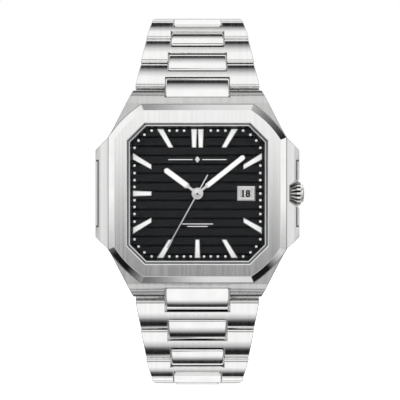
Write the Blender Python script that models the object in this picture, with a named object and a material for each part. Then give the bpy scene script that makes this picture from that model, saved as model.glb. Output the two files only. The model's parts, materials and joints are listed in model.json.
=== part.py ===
"""Wristwatch with an octagonal steel case and an integrated H-link bracelet, closed as on a wrist.

The dial faces -Y, 12 o'clock is +Z and the crown is at +X. The origin is the middle of the case
back's flat outer face. A height is a distance from that face towards the dial, so y = -height.
"""

import math

import bmesh
import bpy
from mathutils import Vector

MM = 0.001

# Fits
FIT_GAP = 0.05 * MM
ROUND_SEGMENTS = 48
SMALL_SEGMENTS = 20
SMALL_RADIUS = 1.5 * MM
SMOOTH_ANGLE = math.radians(30)
OVERCUT = 1.0 * MM
TINY = 1e-9

# Case middle: half sizes seen from the front, and heights above the case back
CASE_HALF_WIDTH = 20.97 * MM
FLANK_HALF_LENGTH = 8.9 * MM
SHOULDER = (18.42 * MM, 11.35 * MM)
LUG_ROOT = (17.42 * MM, 13.1 * MM)
LUG_TIP = (12.95 * MM, 21.8 * MM)
LUG_END = 21.33 * MM
LUG_RELIEF = 1.3 * MM
CASE_BOTTOM = 1.85 * MM
CASE_TOP = 8.3 * MM
FLANK_BEVEL_WIDTH = 1.1 * MM
FLANK_BEVEL_HEIGHT = 1.3 * MM
MOVEMENT_BORE = 14.65 * MM
DIAL_SEAT = 7.75 * MM
DIAL_RECESS = 14.75 * MM
ROLL_START = 18.6 * MM
ROLL_DROP = 2.2 * MM
ROLL_ANGLE = math.radians(78)
ROLL_STEPS = 6
UNDERSIDE_HALF_LENGTH = 17.0 * MM

# Bezel and crystal
BEZEL_HALF_WIDTH = 18.2 * MM
BEZEL_CORNER = 11.45 * MM
BEZEL_BULGE = 0.49 * MM
BEZEL_BOTTOM = CASE_TOP + FIT_GAP
BEZEL_SHOULDER = 10.2 * MM
BEZEL_TOP = 11.2 * MM
BEZEL_CHAMFER = 1.25 * MM
OPENING_HALF_WIDTH = 14.3 * MM
OPENING_CORNER = 10.65 * MM
OPENING_LIP = 0.2 * MM
CORNER_STEPS = 8
CRYSTAL_BOTTOM = 10.3 * MM
CRYSTAL_TOP = 11.4 * MM
CRYSTAL_EDGE = 0.2 * MM

# Dial, flange and date
DIAL_BOTTOM = 7.8 * MM
DIAL_TOP = 8.2 * MM
DIAL_HALF_WIDTH = 14.65 * MM
DIAL_CORNER = 10.8 * MM
DIAL_HOLE = 1.0 * MM
FLANGE_BOTTOM = 8.25 * MM
FLANGE_TOP = 10.25 * MM
FLANGE_INNER_TOP = 13.95 * MM
FLANGE_INNER_BOTTOM = 13.36 * MM
MARKER_OUTER = 13.25 * MM
MARKER_INNER = 9.43 * MM
MARKER_HALF_WIDTH = 0.5 * MM
MARKER_HEIGHT = 0.3 * MM
DOUBLE_MARKER_OFFSET = 0.68 * MM
DATE_RADIUS = 10.04 * MM
DATE_APERTURE = (2.3 * MM, 1.6 * MM)
DATE_FRAME = (3.75 * MM, 3.05 * MM)
DATE_FRAME_HEIGHT = 0.25 * MM
DATE_DISC_RADII = (8.4 * MM, 12.2 * MM)
DATE_DISC_HEIGHTS = (7.35 * MM, 7.65 * MM)

# Hands: angles clockwise from 12 o'clock
HOUR_ANGLE = math.radians(306.5)
MINUTE_ANGLE = math.radians(51.6)
SECONDS_ANGLE = math.radians(208.9)
HAND_THICKNESS = 0.22 * MM
HOUR_HEIGHT = 8.62 * MM
MINUTE_HEIGHT = 9.02 * MM
SECONDS_HEIGHT = 9.42 * MM
ARBOR_RADIUS = 0.12 * MM

# Hands: length, half width, neck half width, hub radius, neck length and, on the seconds hand, tail
HOUR_HAND = (8.4 * MM, 0.615 * MM, 0.38 * MM, 1.2 * MM, 2.4 * MM)
MINUTE_HAND = (12.3 * MM, 0.54 * MM, 0.35 * MM, 1.1 * MM, 2.3 * MM)
SECONDS_HAND = (12.7 * MM, 0.13 * MM, 0.12 * MM, 0.5 * MM, 1.0 * MM, 4.4 * MM)

# Hand pipes: radius, bore and height of the lower end
HOUR_PIPE = (0.85 * MM, 0.55 * MM, 7.9 * MM)
MINUTE_PIPE = (0.48 * MM, 0.2 * MM, 7.4 * MM)
SECONDS_PIPE = (ARBOR_RADIUS, 0.0, 5.1 * MM)

# Movement
MOVEMENT_RADIUS = 13.0 * MM
HOLDER_HEIGHTS = (2.2 * MM, 7.25 * MM)
PLATE_HEIGHTS = (5.2 * MM, 7.25 * MM)
PLATE_HOLE = 0.6 * MM
BRIDGE_RADIUS = 12.8 * MM
BRIDGE_HEIGHTS = (2.95 * MM, 3.8 * MM)
BRIDGE_HOLE = 0.4 * MM
WHEEL_HEIGHTS = (4.0 * MM, 4.9 * MM)
BARREL_CENTRE = (-4.75 * MM, 4.58 * MM)
BARREL_RADIUS = 5.6 * MM
BARREL_TEETH = 60
PINION_RADIUS = 0.9 * MM
PINION_TEETH = 10
TOOTH_DEPTH = 0.25 * MM
BALANCE_REACH = 8.2 * MM
BALANCE_BEARING = math.radians(132)
BALANCE_RADIUS = 4.0 * MM
BALANCE_RIM = 0.6 * MM
SPOKE_INSET = 0.2 * MM
BRIDGE_WINDOW = 4.95 * MM
COCK_HALF_WIDTH = 1.1 * MM
COCK_FOOT = 12.35 * MM
COCK_END = 12.9 * MM
ROTOR_RADIUS = 12.3 * MM
ROTOR_HUB = 2.2 * MM
ROTOR_HEIGHTS = (2.05 * MM, 2.75 * MM)

# Crown and stem, along +X
STEM_HEIGHT = 5.0 * MM
STEM_RADIUS = 0.5 * MM
STEM_START = 9.5 * MM
STEM_CLEARANCE = 0.2 * MM
CROWN_START = 19.15 * MM
CROWN_BACK_RADIUS = 1.45 * MM
CROWN_RADIUS = 2.45 * MM
CROWN_SHOULDER = 20.5 * MM
CROWN_FACE = 21.2 * MM
CROWN_TIP = 22.05 * MM
CROWN_DOME = ((1.9 * MM, 21.75 * MM), (1.1 * MM, 21.97 * MM))
CROWN_RECESS = 2.2 * MM
CROWN_FLUTES = 16
FLUTE_DEPTH = 0.16 * MM
CROWN_GAP = 0.2 * MM
TUBE_RADIUS = 0.95 * MM
TUBE_SPAN = (17.0 * MM, 18.8 * MM)

# Case back
BACK_RADIUS = 16.6 * MM
BACK_THICKNESS = 1.8 * MM
BACK_CHAMFER = 0.5 * MM
BACK_WINDOW = 11.6 * MM
BACK_SEAT = 12.5 * MM
BACK_LIP = 0.5 * MM

# Bracelet: pins, links and the tilt of each link from the dial's plane, at rest
LINKS_PER_SIDE = 8
PIN_FROM_END = 1.35 * MM
LINK_GAP = 0.2 * MM
PITCH = 7.0 * MM
PIN_SPACING = 2 * PIN_FROM_END + LINK_GAP
BODY_SPACING = PITCH - PIN_SPACING
CENTRE_OVERHANG = 1.0 * MM
LINK_TOP = 1.4 * MM
LINK_CROWN = 0.2 * MM
LINK_BOTTOM = -1.3 * MM
TOP_FILLET = 0.55 * MM
BOTTOM_FILLET = 1.1 * MM
WIDTH_AT_CASE = 25.6 * MM
WIDTH_AT_CLASP = 18.0 * MM
TAPER_PER_PITCH = 2.05 * MM
CENTRE_SHARE = 0.51
SIDE_GAP = 0.15 * MM
CASE_PIN = (20.0 * MM, 5.2 * MM)
UPPER_TILTS = (40, 41, 58, 83, 110, 138, 160, 176)
LOWER_TILTS = (28, 29, 50, 79, 108, 136, 157, 170)
UPPER_FIRST_TILT = 32
LOWER_FIRST_TILT = 16

# Folding clasp, measured along it from the lower pin and up from the line between its pins
CLASP_HALF_WIDTH = 9.0 * MM
CLASP_WALL = 0.9 * MM
CLASP_TOP = 1.5 * MM
CLASP_SKIRT = -0.9 * MM
CLASP_BLADE_HALF_WIDTH = 7.3 * MM
COVER_START = PIN_FROM_END + LINK_GAP
COVER_END = PIN_FROM_END + LINK_GAP
COVER_KNUCKLE = 0.43 * MM
COVER_HINGE_HEIGHT = CLASP_TOP - COVER_KNUCKLE
OUTER_BLADE = (-0.35 * MM, 0.4 * MM)
INNER_BLADE = (-1.3 * MM, -0.45 * MM)
BLADE_START = 3.3 * MM
BUTTON_PLACE = 6.0 * MM
BUTTON_HALF_LENGTH = 1.6 * MM
BUTTON_SPAN = (8.0 * MM, 9.35 * MM)
BUTTON_HEIGHTS = (-0.8 * MM, 0.5 * MM)
TONGUE_RADIUS = 1.1 * MM
TONGUE_ROOT = 2.5 * MM
TONGUE_BOTTOM = -0.45 * MM
TONGUE_TOP = 1.2 * MM
HOOK_TOP = 0.4 * MM
HOOK_NOSE = (0.4 * MM, 0.2 * MM)
HOOK_LENGTH = 0.6 * MM
CENTRE_STATIONS = (0.2, 0.5, 0.8)

MATERIALS = {}


def material(name, colour, roughness, metallic):
    """A Principled material, made once for each name."""
    if name not in MATERIALS:
        made = bpy.data.materials.new(name)
        made.use_nodes = True
        shader = made.node_tree.nodes["Principled BSDF"]
        shader.inputs["Base Color"].default_value = (*colour, 1.0)
        shader.inputs["Roughness"].default_value = roughness
        shader.inputs["Metallic"].default_value = metallic
        made.diffuse_color = (*colour, 1.0)
        MATERIALS[name] = made
    return MATERIALS[name]


def brushed_steel():
    return material("brushed_steel", (0.62, 0.62, 0.61), 0.35, 1.0)


def polished_steel():
    return material("polished_steel", (0.75, 0.75, 0.74), 0.12, 1.0)


def black_dial():
    return material("black_dial", (0.012, 0.012, 0.013), 0.35, 0.2)


def white_paint():
    return material("white_paint", (0.8, 0.8, 0.78), 0.5, 0.0)


def sapphire():
    return material("sapphire", (0.9, 0.93, 0.95), 0.05, 0.0)


def brass():
    return material("brass", (0.68, 0.52, 0.25), 0.3, 1.0)


def nickel():
    return material("nickel", (0.6, 0.6, 0.58), 0.28, 1.0)


def front(a, b, height):
    """Point from an outline seen from the front: a along X, b along Z."""
    return Vector((a, -height, b))


def side(a, b, reach):
    """Point from an outline seen from the crown side: a is the height, b is along Z."""
    return Vector((reach, -a, b))


def above(a, b, reach):
    """Point from an outline seen from 12 o'clock: a along X, b is the height."""
    return Vector((a, -b, reach))


def at_balance(a, b, height):
    """Point seen from the front about the balance staff: a outwards from the movement's centre."""
    out_x, out_z = math.sin(BALANCE_BEARING), math.cos(BALANCE_BEARING)
    distance = BALANCE_REACH + a
    return Vector((distance * out_x - b * out_z, -height, distance * out_z + b * out_x))


def on_stem(a, b, reach):
    """Point turned about the stem's axis."""
    return Vector((reach, -STEM_HEIGHT - a, b))


def finish(mesh_data, name, finish_material, origin=(0.0, 0.0, 0.0)):
    """Turn bmesh data into an object whose origin is at the given point."""
    bmesh.ops.recalc_face_normals(mesh_data, faces=mesh_data.faces)
    bmesh.ops.translate(mesh_data, verts=mesh_data.verts, vec=-Vector(origin))
    mesh = bpy.data.meshes.new(name)
    mesh_data.to_mesh(mesh)
    mesh_data.free()
    mesh.materials.append(finish_material)
    made = bpy.data.objects.new(name, mesh)
    made.location = origin
    bpy.context.collection.objects.link(made)
    shade(made)
    return made


def shade(piece):
    piece.data.shade_smooth()
    piece.data.set_sharp_from_angle(angle=SMOOTH_ANGLE)


def combine(piece, tool, operation):
    """Apply one Boolean of a tool to a piece and remove the tool."""
    modifier = piece.modifiers.new("Boolean", "BOOLEAN")
    modifier.operation = operation
    modifier.object = tool
    bpy.context.view_layer.update()
    depsgraph = bpy.context.evaluated_depsgraph_get()
    result = bpy.data.meshes.new_from_object(piece.evaluated_get(depsgraph))
    piece.modifiers.remove(modifier)
    piece.data = result
    bpy.data.objects.remove(tool)
    shade(piece)


def prism_mesh(outline, low, high, place):
    """Closed prism on an outline of (a, b) points."""
    made = bmesh.new()
    loops = [[made.verts.new(place(a, b, level)) for a, b in outline] for level in (low, high)]
    count = len(outline)
    for index in range(count):
        after = (index + 1) % count
        made.faces.new((loops[0][index], loops[0][after], loops[1][after], loops[1][index]))
    made.faces.new(loops[0])
    made.faces.new(loops[1])
    return made


def prism(outline, low, high, place, name="tool", finish_material=None, origin=(0.0, 0.0, 0.0)):
    return finish(prism_mesh(outline, low, high, place), name, finish_material or nickel(), origin)


def stack(sections, place, name, finish_material, ring, origin=(0.0, 0.0, 0.0)):
    """Loft (outline, height) sections; a ring closes on itself, a solid has two caps."""
    made = bmesh.new()
    loops = [[made.verts.new(place(a, b, height)) for a, b in outline] for outline, height in sections]
    count = len(loops[0])
    pairs = list(zip(loops, loops[1:]))
    if ring:
        pairs.append((loops[-1], loops[0]))
    for first, second in pairs:
        for index in range(count):
            after = (index + 1) % count
            made.faces.new((first[index], first[after], second[after], second[index]))
    if not ring:
        made.faces.new(loops[0])
        made.faces.new(loops[-1])
    return finish(made, name, finish_material, origin)


def turned(profile, place, name, finish_material, ring=False, segments=ROUND_SEGMENTS,
           origin=(0.0, 0.0, 0.0), flutes=0):
    """Turn a profile of (radius, reach) points; points on the axis become poles."""
    made = bmesh.new()
    rings = []
    for radius, reach in profile:
        if radius == 0:
            rings.append([made.verts.new(place(0.0, 0.0, reach))])
            continue
        points = []
        for step in range(segments):
            angle = 2 * math.pi * step / segments
            local = radius
            if flutes and radius > CROWN_BACK_RADIUS:
                local -= FLUTE_DEPTH * (0.5 - 0.5 * math.cos(flutes * angle))
            points.append(made.verts.new(place(local * math.cos(angle), local * math.sin(angle), reach)))
        rings.append(points)
    pairs = list(zip(rings, rings[1:]))
    if ring:
        pairs.append((rings[-1], rings[0]))
    for first, second in pairs:
        for step in range(segments):
            after = (step + 1) % segments
            if len(first) == 1:
                made.faces.new((first[0], second[step], second[after]))
            elif len(second) == 1:
                made.faces.new((first[step], second[0], first[after]))
            else:
                made.faces.new((first[step], first[after], second[after], second[step]))
    return finish(made, name, finish_material, origin)


def cylinder(radius, low, high, place, name="tool", finish_material=None, origin=(0.0, 0.0, 0.0)):
    profile = ((0.0, low), (radius, low), (radius, high), (0.0, high))
    segments = SMALL_SEGMENTS if radius < SMALL_RADIUS else ROUND_SEGMENTS
    return turned(profile, place, name, finish_material or nickel(), segments=segments, origin=origin)


def washer(outer, inner, heights, name, finish_material, centre=(0.0, 0.0)):
    """Flat ring about an axis square to the dial."""
    def place(a, b, height):
        return front(a + centre[0], b + centre[1], height)

    low, high = heights
    profile = ((outer, low), (outer, high), (inner, high), (inner, low))
    origin = (centre[0], -low, centre[1])
    return turned(profile, place, name, finish_material, ring=True, origin=origin)


def rectangle(width, height, centre=(0.0, 0.0)):
    a, b = centre
    return [(a - width / 2, b - height / 2), (a + width / 2, b - height / 2),
            (a + width / 2, b + height / 2), (a - width / 2, b + height / 2)]


def octagon(half_width, corner, bulge=0.0):
    """Square outline with cut corners; each cut is a straight run or a shallow convex arc."""
    chord = math.sqrt(2) * (half_width - corner)
    points = []
    for quadrant in range(4):
        turn = quadrant * math.pi / 2
        for step in range(CORNER_STEPS + 1):
            share = step / CORNER_STEPS
            rise = 0.0
            if bulge:
                radius = (chord * chord / 4 + bulge * bulge) / (2 * bulge)
                offset = (share - 0.5) * chord
                rise = math.sqrt(radius * radius - offset * offset) - (radius - bulge)
            along = half_width - (half_width - corner) * share
            across = corner + (half_width - corner) * share
            a = along + rise / math.sqrt(2)
            b = across + rise / math.sqrt(2)
            turned_a = a * math.cos(turn) - b * math.sin(turn)
            turned_b = a * math.sin(turn) + b * math.cos(turn)
            points.append((turned_a, turned_b))
    return points


def inset_octagon(half_width, corner, inset, bulge=0.0):
    """The same outline moved inwards by an equal width on every side."""
    return octagon(half_width - inset, corner - inset * math.tan(math.pi / 8), bulge)


def mirrored(quarter):
    """Close an outline given in the first quadrant by mirroring it in both axes."""
    right = quarter + [(a, -b) for a, b in reversed(quarter)]
    return right + [(-a, b) for a, b in reversed(right)]


def case_outline():
    return mirrored([LUG_TIP, LUG_ROOT, SHOULDER, (CASE_HALF_WIDTH, FLANK_HALF_LENGTH)])


def case_side_outline():
    """Height over Z: a flat top that rolls down to the lug ends, and a relieved underside."""
    upper = []
    for step in range(ROLL_STEPS + 1):
        angle = ROLL_ANGLE * step / ROLL_STEPS
        along = ROLL_START + (LUG_END - ROLL_START) * math.sin(angle) / math.sin(ROLL_ANGLE)
        drop = ROLL_DROP * (1 - math.cos(angle)) / (1 - math.cos(ROLL_ANGLE))
        upper.append((CASE_TOP - drop, along))
    pin_height = CASE_PIN[1]
    lower = fillet((pin_height, LUG_END - LUG_RELIEF), LUG_RELIEF, 90, 180, 5)
    lower.append((CASE_BOTTOM, UNDERSIDE_HALF_LENGTH))
    half = upper + lower
    return half + [(height, -along) for height, along in reversed(half)]


def case_end_outline():
    """X over height: bevels along the flanks' upper and lower edges."""
    low = CASE_BOTTOM
    half = [(CASE_HALF_WIDTH - FLANK_BEVEL_WIDTH, CASE_TOP),
            (CASE_HALF_WIDTH, CASE_TOP - FLANK_BEVEL_HEIGHT),
            (CASE_HALF_WIDTH, low + FLANK_BEVEL_HEIGHT),
            (CASE_HALF_WIDTH - FLANK_BEVEL_WIDTH, low)]
    return half + [(-across, height) for across, height in reversed(half)]


def make_case_middle():
    limit = CASE_HALF_WIDTH + OVERCUT
    case = prism(case_outline(), CASE_BOTTOM, CASE_TOP, front, "case_middle", brushed_steel())
    combine(case, prism(case_side_outline(), -limit, limit, side), "INTERSECT")
    combine(case, prism(case_end_outline(), -limit - OVERCUT, limit + OVERCUT, above), "INTERSECT")
    combine(case, cylinder(MOVEMENT_BORE, 0.0, CASE_TOP + OVERCUT, front), "DIFFERENCE")
    recess = octagon(DIAL_RECESS, DIAL_CORNER + FIT_GAP)
    combine(case, prism(recess, DIAL_SEAT, CASE_TOP + OVERCUT, front), "DIFFERENCE")
    notch_half_width = CENTRE_SHARE * WIDTH_AT_CASE / 2 + SIDE_GAP
    notch_wall = CASE_PIN[0] - CENTRE_OVERHANG - LINK_GAP
    for sign in (1, -1):
        depth = LUG_END + OVERCUT - notch_wall
        notch = rectangle(2 * notch_half_width, depth, (0.0, sign * (notch_wall + depth / 2)))
        combine(case, prism(notch, 0.0, CASE_TOP + OVERCUT, front), "DIFFERENCE")
    cone_start = CROWN_START - CROWN_GAP
    cone_end = cone_start + CROWN_RECESS
    cone_slope = (CROWN_RADIUS - CROWN_BACK_RADIUS) / (CROWN_SHOULDER - CROWN_START)
    near = CROWN_BACK_RADIUS + CROWN_GAP
    far = near + cone_slope * CROWN_RECESS
    cone = ((0.0, cone_start), (near, cone_start), (far, cone_end), (0.0, cone_end))
    combine(case, turned(cone, on_stem, "tool", nickel()), "DIFFERENCE")
    slot = [(cone_start, -near), (cone_end, -far), (cone_end, far), (cone_start, near)]
    combine(case, prism(slot, STEM_HEIGHT, CASE_TOP + OVERCUT, front), "DIFFERENCE")
    tube_hole = cylinder(TUBE_RADIUS + FIT_GAP, MOVEMENT_BORE - OVERCUT, CROWN_START, on_stem)
    combine(case, tube_hole, "DIFFERENCE")


def make_bezel():
    outer = octagon(BEZEL_HALF_WIDTH, BEZEL_CORNER, BEZEL_BULGE)
    rim = inset_octagon(BEZEL_HALF_WIDTH, BEZEL_CORNER, BEZEL_CHAMFER, BEZEL_BULGE)
    lip = inset_octagon(OPENING_HALF_WIDTH, OPENING_CORNER, -OPENING_LIP)
    opening = octagon(OPENING_HALF_WIDTH, OPENING_CORNER)
    sections = [(outer, BEZEL_BOTTOM), (outer, BEZEL_SHOULDER), (rim, BEZEL_TOP), (lip, BEZEL_TOP),
                (opening, BEZEL_TOP - OPENING_LIP), (opening, BEZEL_BOTTOM)]
    stack(sections, front, "bezel", brushed_steel(), ring=True)


def make_crystal():
    pane = inset_octagon(OPENING_HALF_WIDTH, OPENING_CORNER, 2 * FIT_GAP)
    face = inset_octagon(OPENING_HALF_WIDTH, OPENING_CORNER, 2 * FIT_GAP + CRYSTAL_EDGE)
    sections = [(pane, CRYSTAL_BOTTOM), (pane, CRYSTAL_TOP - CRYSTAL_EDGE), (face, CRYSTAL_TOP)]
    stack(sections, front, "crystal", sapphire(), ring=False)


def make_dial_flange():
    outer = inset_octagon(OPENING_HALF_WIDTH, OPENING_CORNER, 2 * FIT_GAP)
    top = inset_octagon(OPENING_HALF_WIDTH, OPENING_CORNER, OPENING_HALF_WIDTH - FLANGE_INNER_TOP)
    bottom = inset_octagon(OPENING_HALF_WIDTH, OPENING_CORNER, OPENING_HALF_WIDTH - FLANGE_INNER_BOTTOM)
    sections = [(outer, FLANGE_BOTTOM), (outer, FLANGE_TOP), (top, FLANGE_TOP), (bottom, FLANGE_BOTTOM)]
    stack(sections, front, "dial_flange", polished_steel(), ring=True)


def baton_outline(angle, offset):
    """Hour baton along a ray; both ends are cut parallel to the dial side that they face."""
    ray = Vector((math.sin(angle), math.cos(angle)))
    cross = Vector((ray.y, -ray.x))
    facing_top = abs(ray.y) > abs(ray.x) or math.isclose(abs(ray.y), abs(ray.x))
    points = []
    for reach, sign in ((MARKER_OUTER, 1), (MARKER_OUTER, -1), (MARKER_INNER, -1), (MARKER_INNER, 1)):
        start = cross * (offset + sign * MARKER_HALF_WIDTH)
        if facing_top:
            travel = (reach - abs(start.y) * math.copysign(1, start.y * ray.y)) / abs(ray.y)
        else:
            travel = (reach - abs(start.x) * math.copysign(1, start.x * ray.x)) / abs(ray.x)
        point = start + ray * travel
        points.append((point.x, point.y))
    return points


def make_dial():
    dial = prism(octagon(DIAL_HALF_WIDTH, DIAL_CORNER), DIAL_BOTTOM, DIAL_TOP, front, "dial", black_dial())
    combine(dial, cylinder(DIAL_HOLE, DIAL_BOTTOM - OVERCUT, DIAL_TOP + OVERCUT, front), "DIFFERENCE")
    window = rectangle(*DATE_APERTURE, centre=(DATE_RADIUS, 0.0))
    combine(dial, prism(window, DIAL_BOTTOM - OVERCUT, DIAL_TOP + OVERCUT, front), "DIFFERENCE")
    root = (DIAL_BOTTOM + DIAL_TOP) / 2
    for hour in range(12):
        offsets = (0.0,)
        if hour == 0:
            offsets = (-DOUBLE_MARKER_OFFSET, DOUBLE_MARKER_OFFSET)
        if hour == 3:
            offsets = ()
        for offset in offsets:
            outline = baton_outline(math.radians(30 * hour), offset)
            combine(dial, prism(outline, root, DIAL_TOP + MARKER_HEIGHT, front), "UNION")


def make_date():
    outer = rectangle(*DATE_FRAME, centre=(DATE_RADIUS, 0.0))
    inner = rectangle(*DATE_APERTURE, centre=(DATE_RADIUS, 0.0))
    low = DIAL_TOP + FIT_GAP
    high = DIAL_TOP + DATE_FRAME_HEIGHT
    sections = [(outer, low), (outer, high), (inner, high), (inner, low)]
    stack(sections, front, "date_frame", polished_steel(), ring=True)
    washer(DATE_DISC_RADII[1], DATE_DISC_RADII[0], DATE_DISC_HEIGHTS, "date_disc", white_paint())


def hand_outline(angle, length, body, neck, hub, neck_length, tail=0.0):
    """Round hub, narrow neck and wider baton with a rounded tip; an optional counterpoise tail."""
    right = [(neck, math.sqrt(hub * hub - neck * neck)), (neck, neck_length), (body, neck_length + body)]
    tip_steps = 4
    for step in range(tip_steps + 1):
        turn = math.pi / 2 * step / tip_steps
        right.append((body * math.cos(turn), length - body + body * math.sin(turn)))
    start = math.atan2(right[0][1], right[0][0])
    end = -math.pi / 2
    hub_steps = 9
    for step in range(1, hub_steps):
        turn = start + (end - start) * step / hub_steps
        point = (hub * math.cos(turn), hub * math.sin(turn))
        if not tail or abs(point[0]) > neck:
            right.insert(0, point)
    if tail:
        right.insert(0, (neck, -math.sqrt(hub * hub - neck * neck)))
        right.insert(0, (neck, -tail))
    else:
        right.insert(0, (0.0, -hub))
    left = [(-a, b) for a, b in reversed(right) if abs(a) > TINY]
    ray = Vector((math.sin(angle), math.cos(angle)))
    cross = Vector((ray.y, -ray.x))
    return [(a * cross.x + b * ray.x, a * cross.y + b * ray.y) for a, b in right + left]


def make_hand(name, outline, height, pipe_radius, bore, pipe_low):
    """Flat hand on a pipe that reaches down through the dial."""
    origin = (0.0, -height, 0.0)
    top = height + HAND_THICKNESS
    hand = prism(outline, height, top, front, name, polished_steel(), origin)
    combine(hand, cylinder(pipe_radius, pipe_low, height + HAND_THICKNESS / 2, front), "UNION")
    if bore:
        combine(hand, cylinder(bore, pipe_low - OVERCUT, top + OVERCUT, front), "DIFFERENCE")


def make_hands():
    make_hand("hour_hand", hand_outline(HOUR_ANGLE, *HOUR_HAND), HOUR_HEIGHT, *HOUR_PIPE)
    make_hand("minute_hand", hand_outline(MINUTE_ANGLE, *MINUTE_HAND), MINUTE_HEIGHT, *MINUTE_PIPE)
    make_hand("seconds_hand", hand_outline(SECONDS_ANGLE, *SECONDS_HAND), SECONDS_HEIGHT, *SECONDS_PIPE)


def toothed_outline(radius, teeth, centre):
    """Wheel outline with straight pointed teeth."""
    points = []
    for step in range(2 * teeth):
        angle = math.pi * step / teeth
        local = radius - (TOOTH_DEPTH if step % 2 else 0.0)
        points.append((centre[0] + local * math.cos(angle), centre[1] + local * math.sin(angle)))
    return points


def make_movement():
    outer = MOVEMENT_BORE - FIT_GAP
    inner = MOVEMENT_RADIUS + FIT_GAP
    stem_hole = STEM_RADIUS + STEM_CLEARANCE
    holder = washer(outer, inner, HOLDER_HEIGHTS, "movement_holder", nickel())
    combine(holder, cylinder(stem_hole, MOVEMENT_RADIUS / 2, CROWN_START, on_stem), "DIFFERENCE")
    plate = washer(MOVEMENT_RADIUS, PLATE_HOLE, PLATE_HEIGHTS, "main_plate", nickel())
    combine(plate, cylinder(stem_hole, STEM_START - OVERCUT, CROWN_START, on_stem), "DIFFERENCE")
    low, high = WHEEL_HEIGHTS
    barrel_origin = (BARREL_CENTRE[0], -low, BARREL_CENTRE[1])
    barrel = toothed_outline(BARREL_RADIUS, BARREL_TEETH, BARREL_CENTRE)
    prism(barrel, low, high, front, "mainspring_barrel", brass(), barrel_origin)
    pinion = toothed_outline(PINION_RADIUS, PINION_TEETH, (0.0, 0.0))
    prism(pinion, low, high, front, "centre_pinion", nickel(), (0.0, -low, 0.0))
    bridge = washer(BRIDGE_RADIUS, BRIDGE_HOLE, BRIDGE_HEIGHTS, "train_bridge", nickel())
    combine(bridge, cylinder(BRIDGE_WINDOW, 0.0, CASE_TOP, at_balance), "DIFFERENCE")
    centre = at_balance(0.0, 0.0, 0.0)
    inner = BALANCE_RADIUS - BALANCE_RIM
    balance = washer(BALANCE_RADIUS, inner, WHEEL_HEIGHTS, "balance_wheel", brass(), (centre.x, centre.z))
    spoke = rectangle(2 * BALANCE_RADIUS - BALANCE_RIM, BALANCE_RIM)
    combine(balance, prism(spoke, low + SPOKE_INSET, high - SPOKE_INSET, at_balance), "UNION")
    bridge_low, bridge_high = BRIDGE_HEIGHTS
    nose = fillet((0.0, 0.0), COCK_HALF_WIDTH, 90, 270, 8)
    arm = [*nose, (COCK_END - BALANCE_REACH, -COCK_HALF_WIDTH), (COCK_END - BALANCE_REACH, COCK_HALF_WIDTH)]
    cock = prism(arm, bridge_low, bridge_high, at_balance, "balance_cock", nickel())
    foot = rectangle(COCK_END - COCK_FOOT, 2 * COCK_HALF_WIDTH,
                     ((COCK_END + COCK_FOOT) / 2 - BALANCE_REACH, 0.0))
    combine(cock, prism(foot, bridge_low, PLATE_HEIGHTS[0] - FIT_GAP, at_balance), "UNION")
    rim = fillet((0.0, 0.0), ROTOR_RADIUS, 180, 360, steps=24)
    hub = fillet((0.0, 0.0), ROTOR_HUB, 0, 180, steps=10)
    prism(rim + hub, *ROTOR_HEIGHTS, front, "rotor", nickel(), (0.0, -ROTOR_HEIGHTS[0], 0.0))


def make_crown():
    profile = [(0.0, CROWN_START), (CROWN_BACK_RADIUS, CROWN_START), (CROWN_RADIUS, CROWN_SHOULDER),
               (CROWN_RADIUS, CROWN_FACE), *CROWN_DOME, (0.0, CROWN_TIP)]
    origin = (CROWN_START, -STEM_HEIGHT, 0.0)
    turned(profile, on_stem, "crown", polished_steel(), segments=4 * CROWN_FLUTES, origin=origin,
           flutes=CROWN_FLUTES)
    cylinder(STEM_RADIUS, STEM_START, CROWN_START - FIT_GAP, on_stem, "winding_stem", nickel(),
             (STEM_START, -STEM_HEIGHT, 0.0))
    low, high = TUBE_SPAN
    inner = STEM_RADIUS + FIT_GAP
    tube = ((TUBE_RADIUS, low), (TUBE_RADIUS, high), (inner, high), (inner, low))
    turned(tube, on_stem, "crown_tube", nickel(), ring=True, segments=24, origin=(low, -STEM_HEIGHT, 0.0))


def make_back():
    profile = ((BACK_RADIUS, BACK_THICKNESS), (BACK_RADIUS, BACK_CHAMFER), (BACK_RADIUS - BACK_CHAMFER, 0.0),
               (BACK_WINDOW, 0.0), (BACK_WINDOW, BACK_LIP), (BACK_SEAT, BACK_LIP), (BACK_SEAT, BACK_THICKNESS))
    turned(profile, front, "case_back", brushed_steel(), ring=True)
    cylinder(BACK_SEAT - FIT_GAP, BACK_LIP + FIT_GAP, BACK_THICKNESS - 2 * FIT_GAP, front, "back_crystal",
             sapphire())


def fillet(centre, radius, start, end, steps=3):
    """Points of an arc, from one angle to the other, in degrees."""
    points = []
    for step in range(steps + 1):
        angle = math.radians(start + (end - start) * step / steps)
        points.append((centre[0] + radius * math.cos(angle), centre[1] + radius * math.sin(angle)))
    return points


def crown_height(along, low, high):
    """Height of a link's convex top over its length."""
    share = 2 * (along - low) / (high - low) - 1
    return LINK_TOP + LINK_CROWN * (1 - share * share)


def link_profile(low, high, stations):
    """Side profile of a link from one end to the other, with points at the given stations.

    Returns the upper run and the lower run, each ordered from the low end to the high end.
    """
    top_centre = LINK_TOP - TOP_FILLET
    upper = fillet((low + TOP_FILLET, top_centre), TOP_FILLET, 180, 90)
    upper += [(along, crown_height(along, low, high)) for along in stations]
    upper += fillet((high - TOP_FILLET, top_centre), TOP_FILLET, 90, 0)
    bottom_centre = LINK_BOTTOM + BOTTOM_FILLET
    lower = fillet((low + BOTTOM_FILLET, bottom_centre), BOTTOM_FILLET, 180, 270)
    flat = (low + BOTTOM_FILLET, high - BOTTOM_FILLET)
    lower += [(along, LINK_BOTTOM) for along in stations if flat[0] < along < flat[1]]
    lower += fillet((high - BOTTOM_FILLET, bottom_centre), BOTTOM_FILLET, 270, 360)
    return upper, lower


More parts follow.
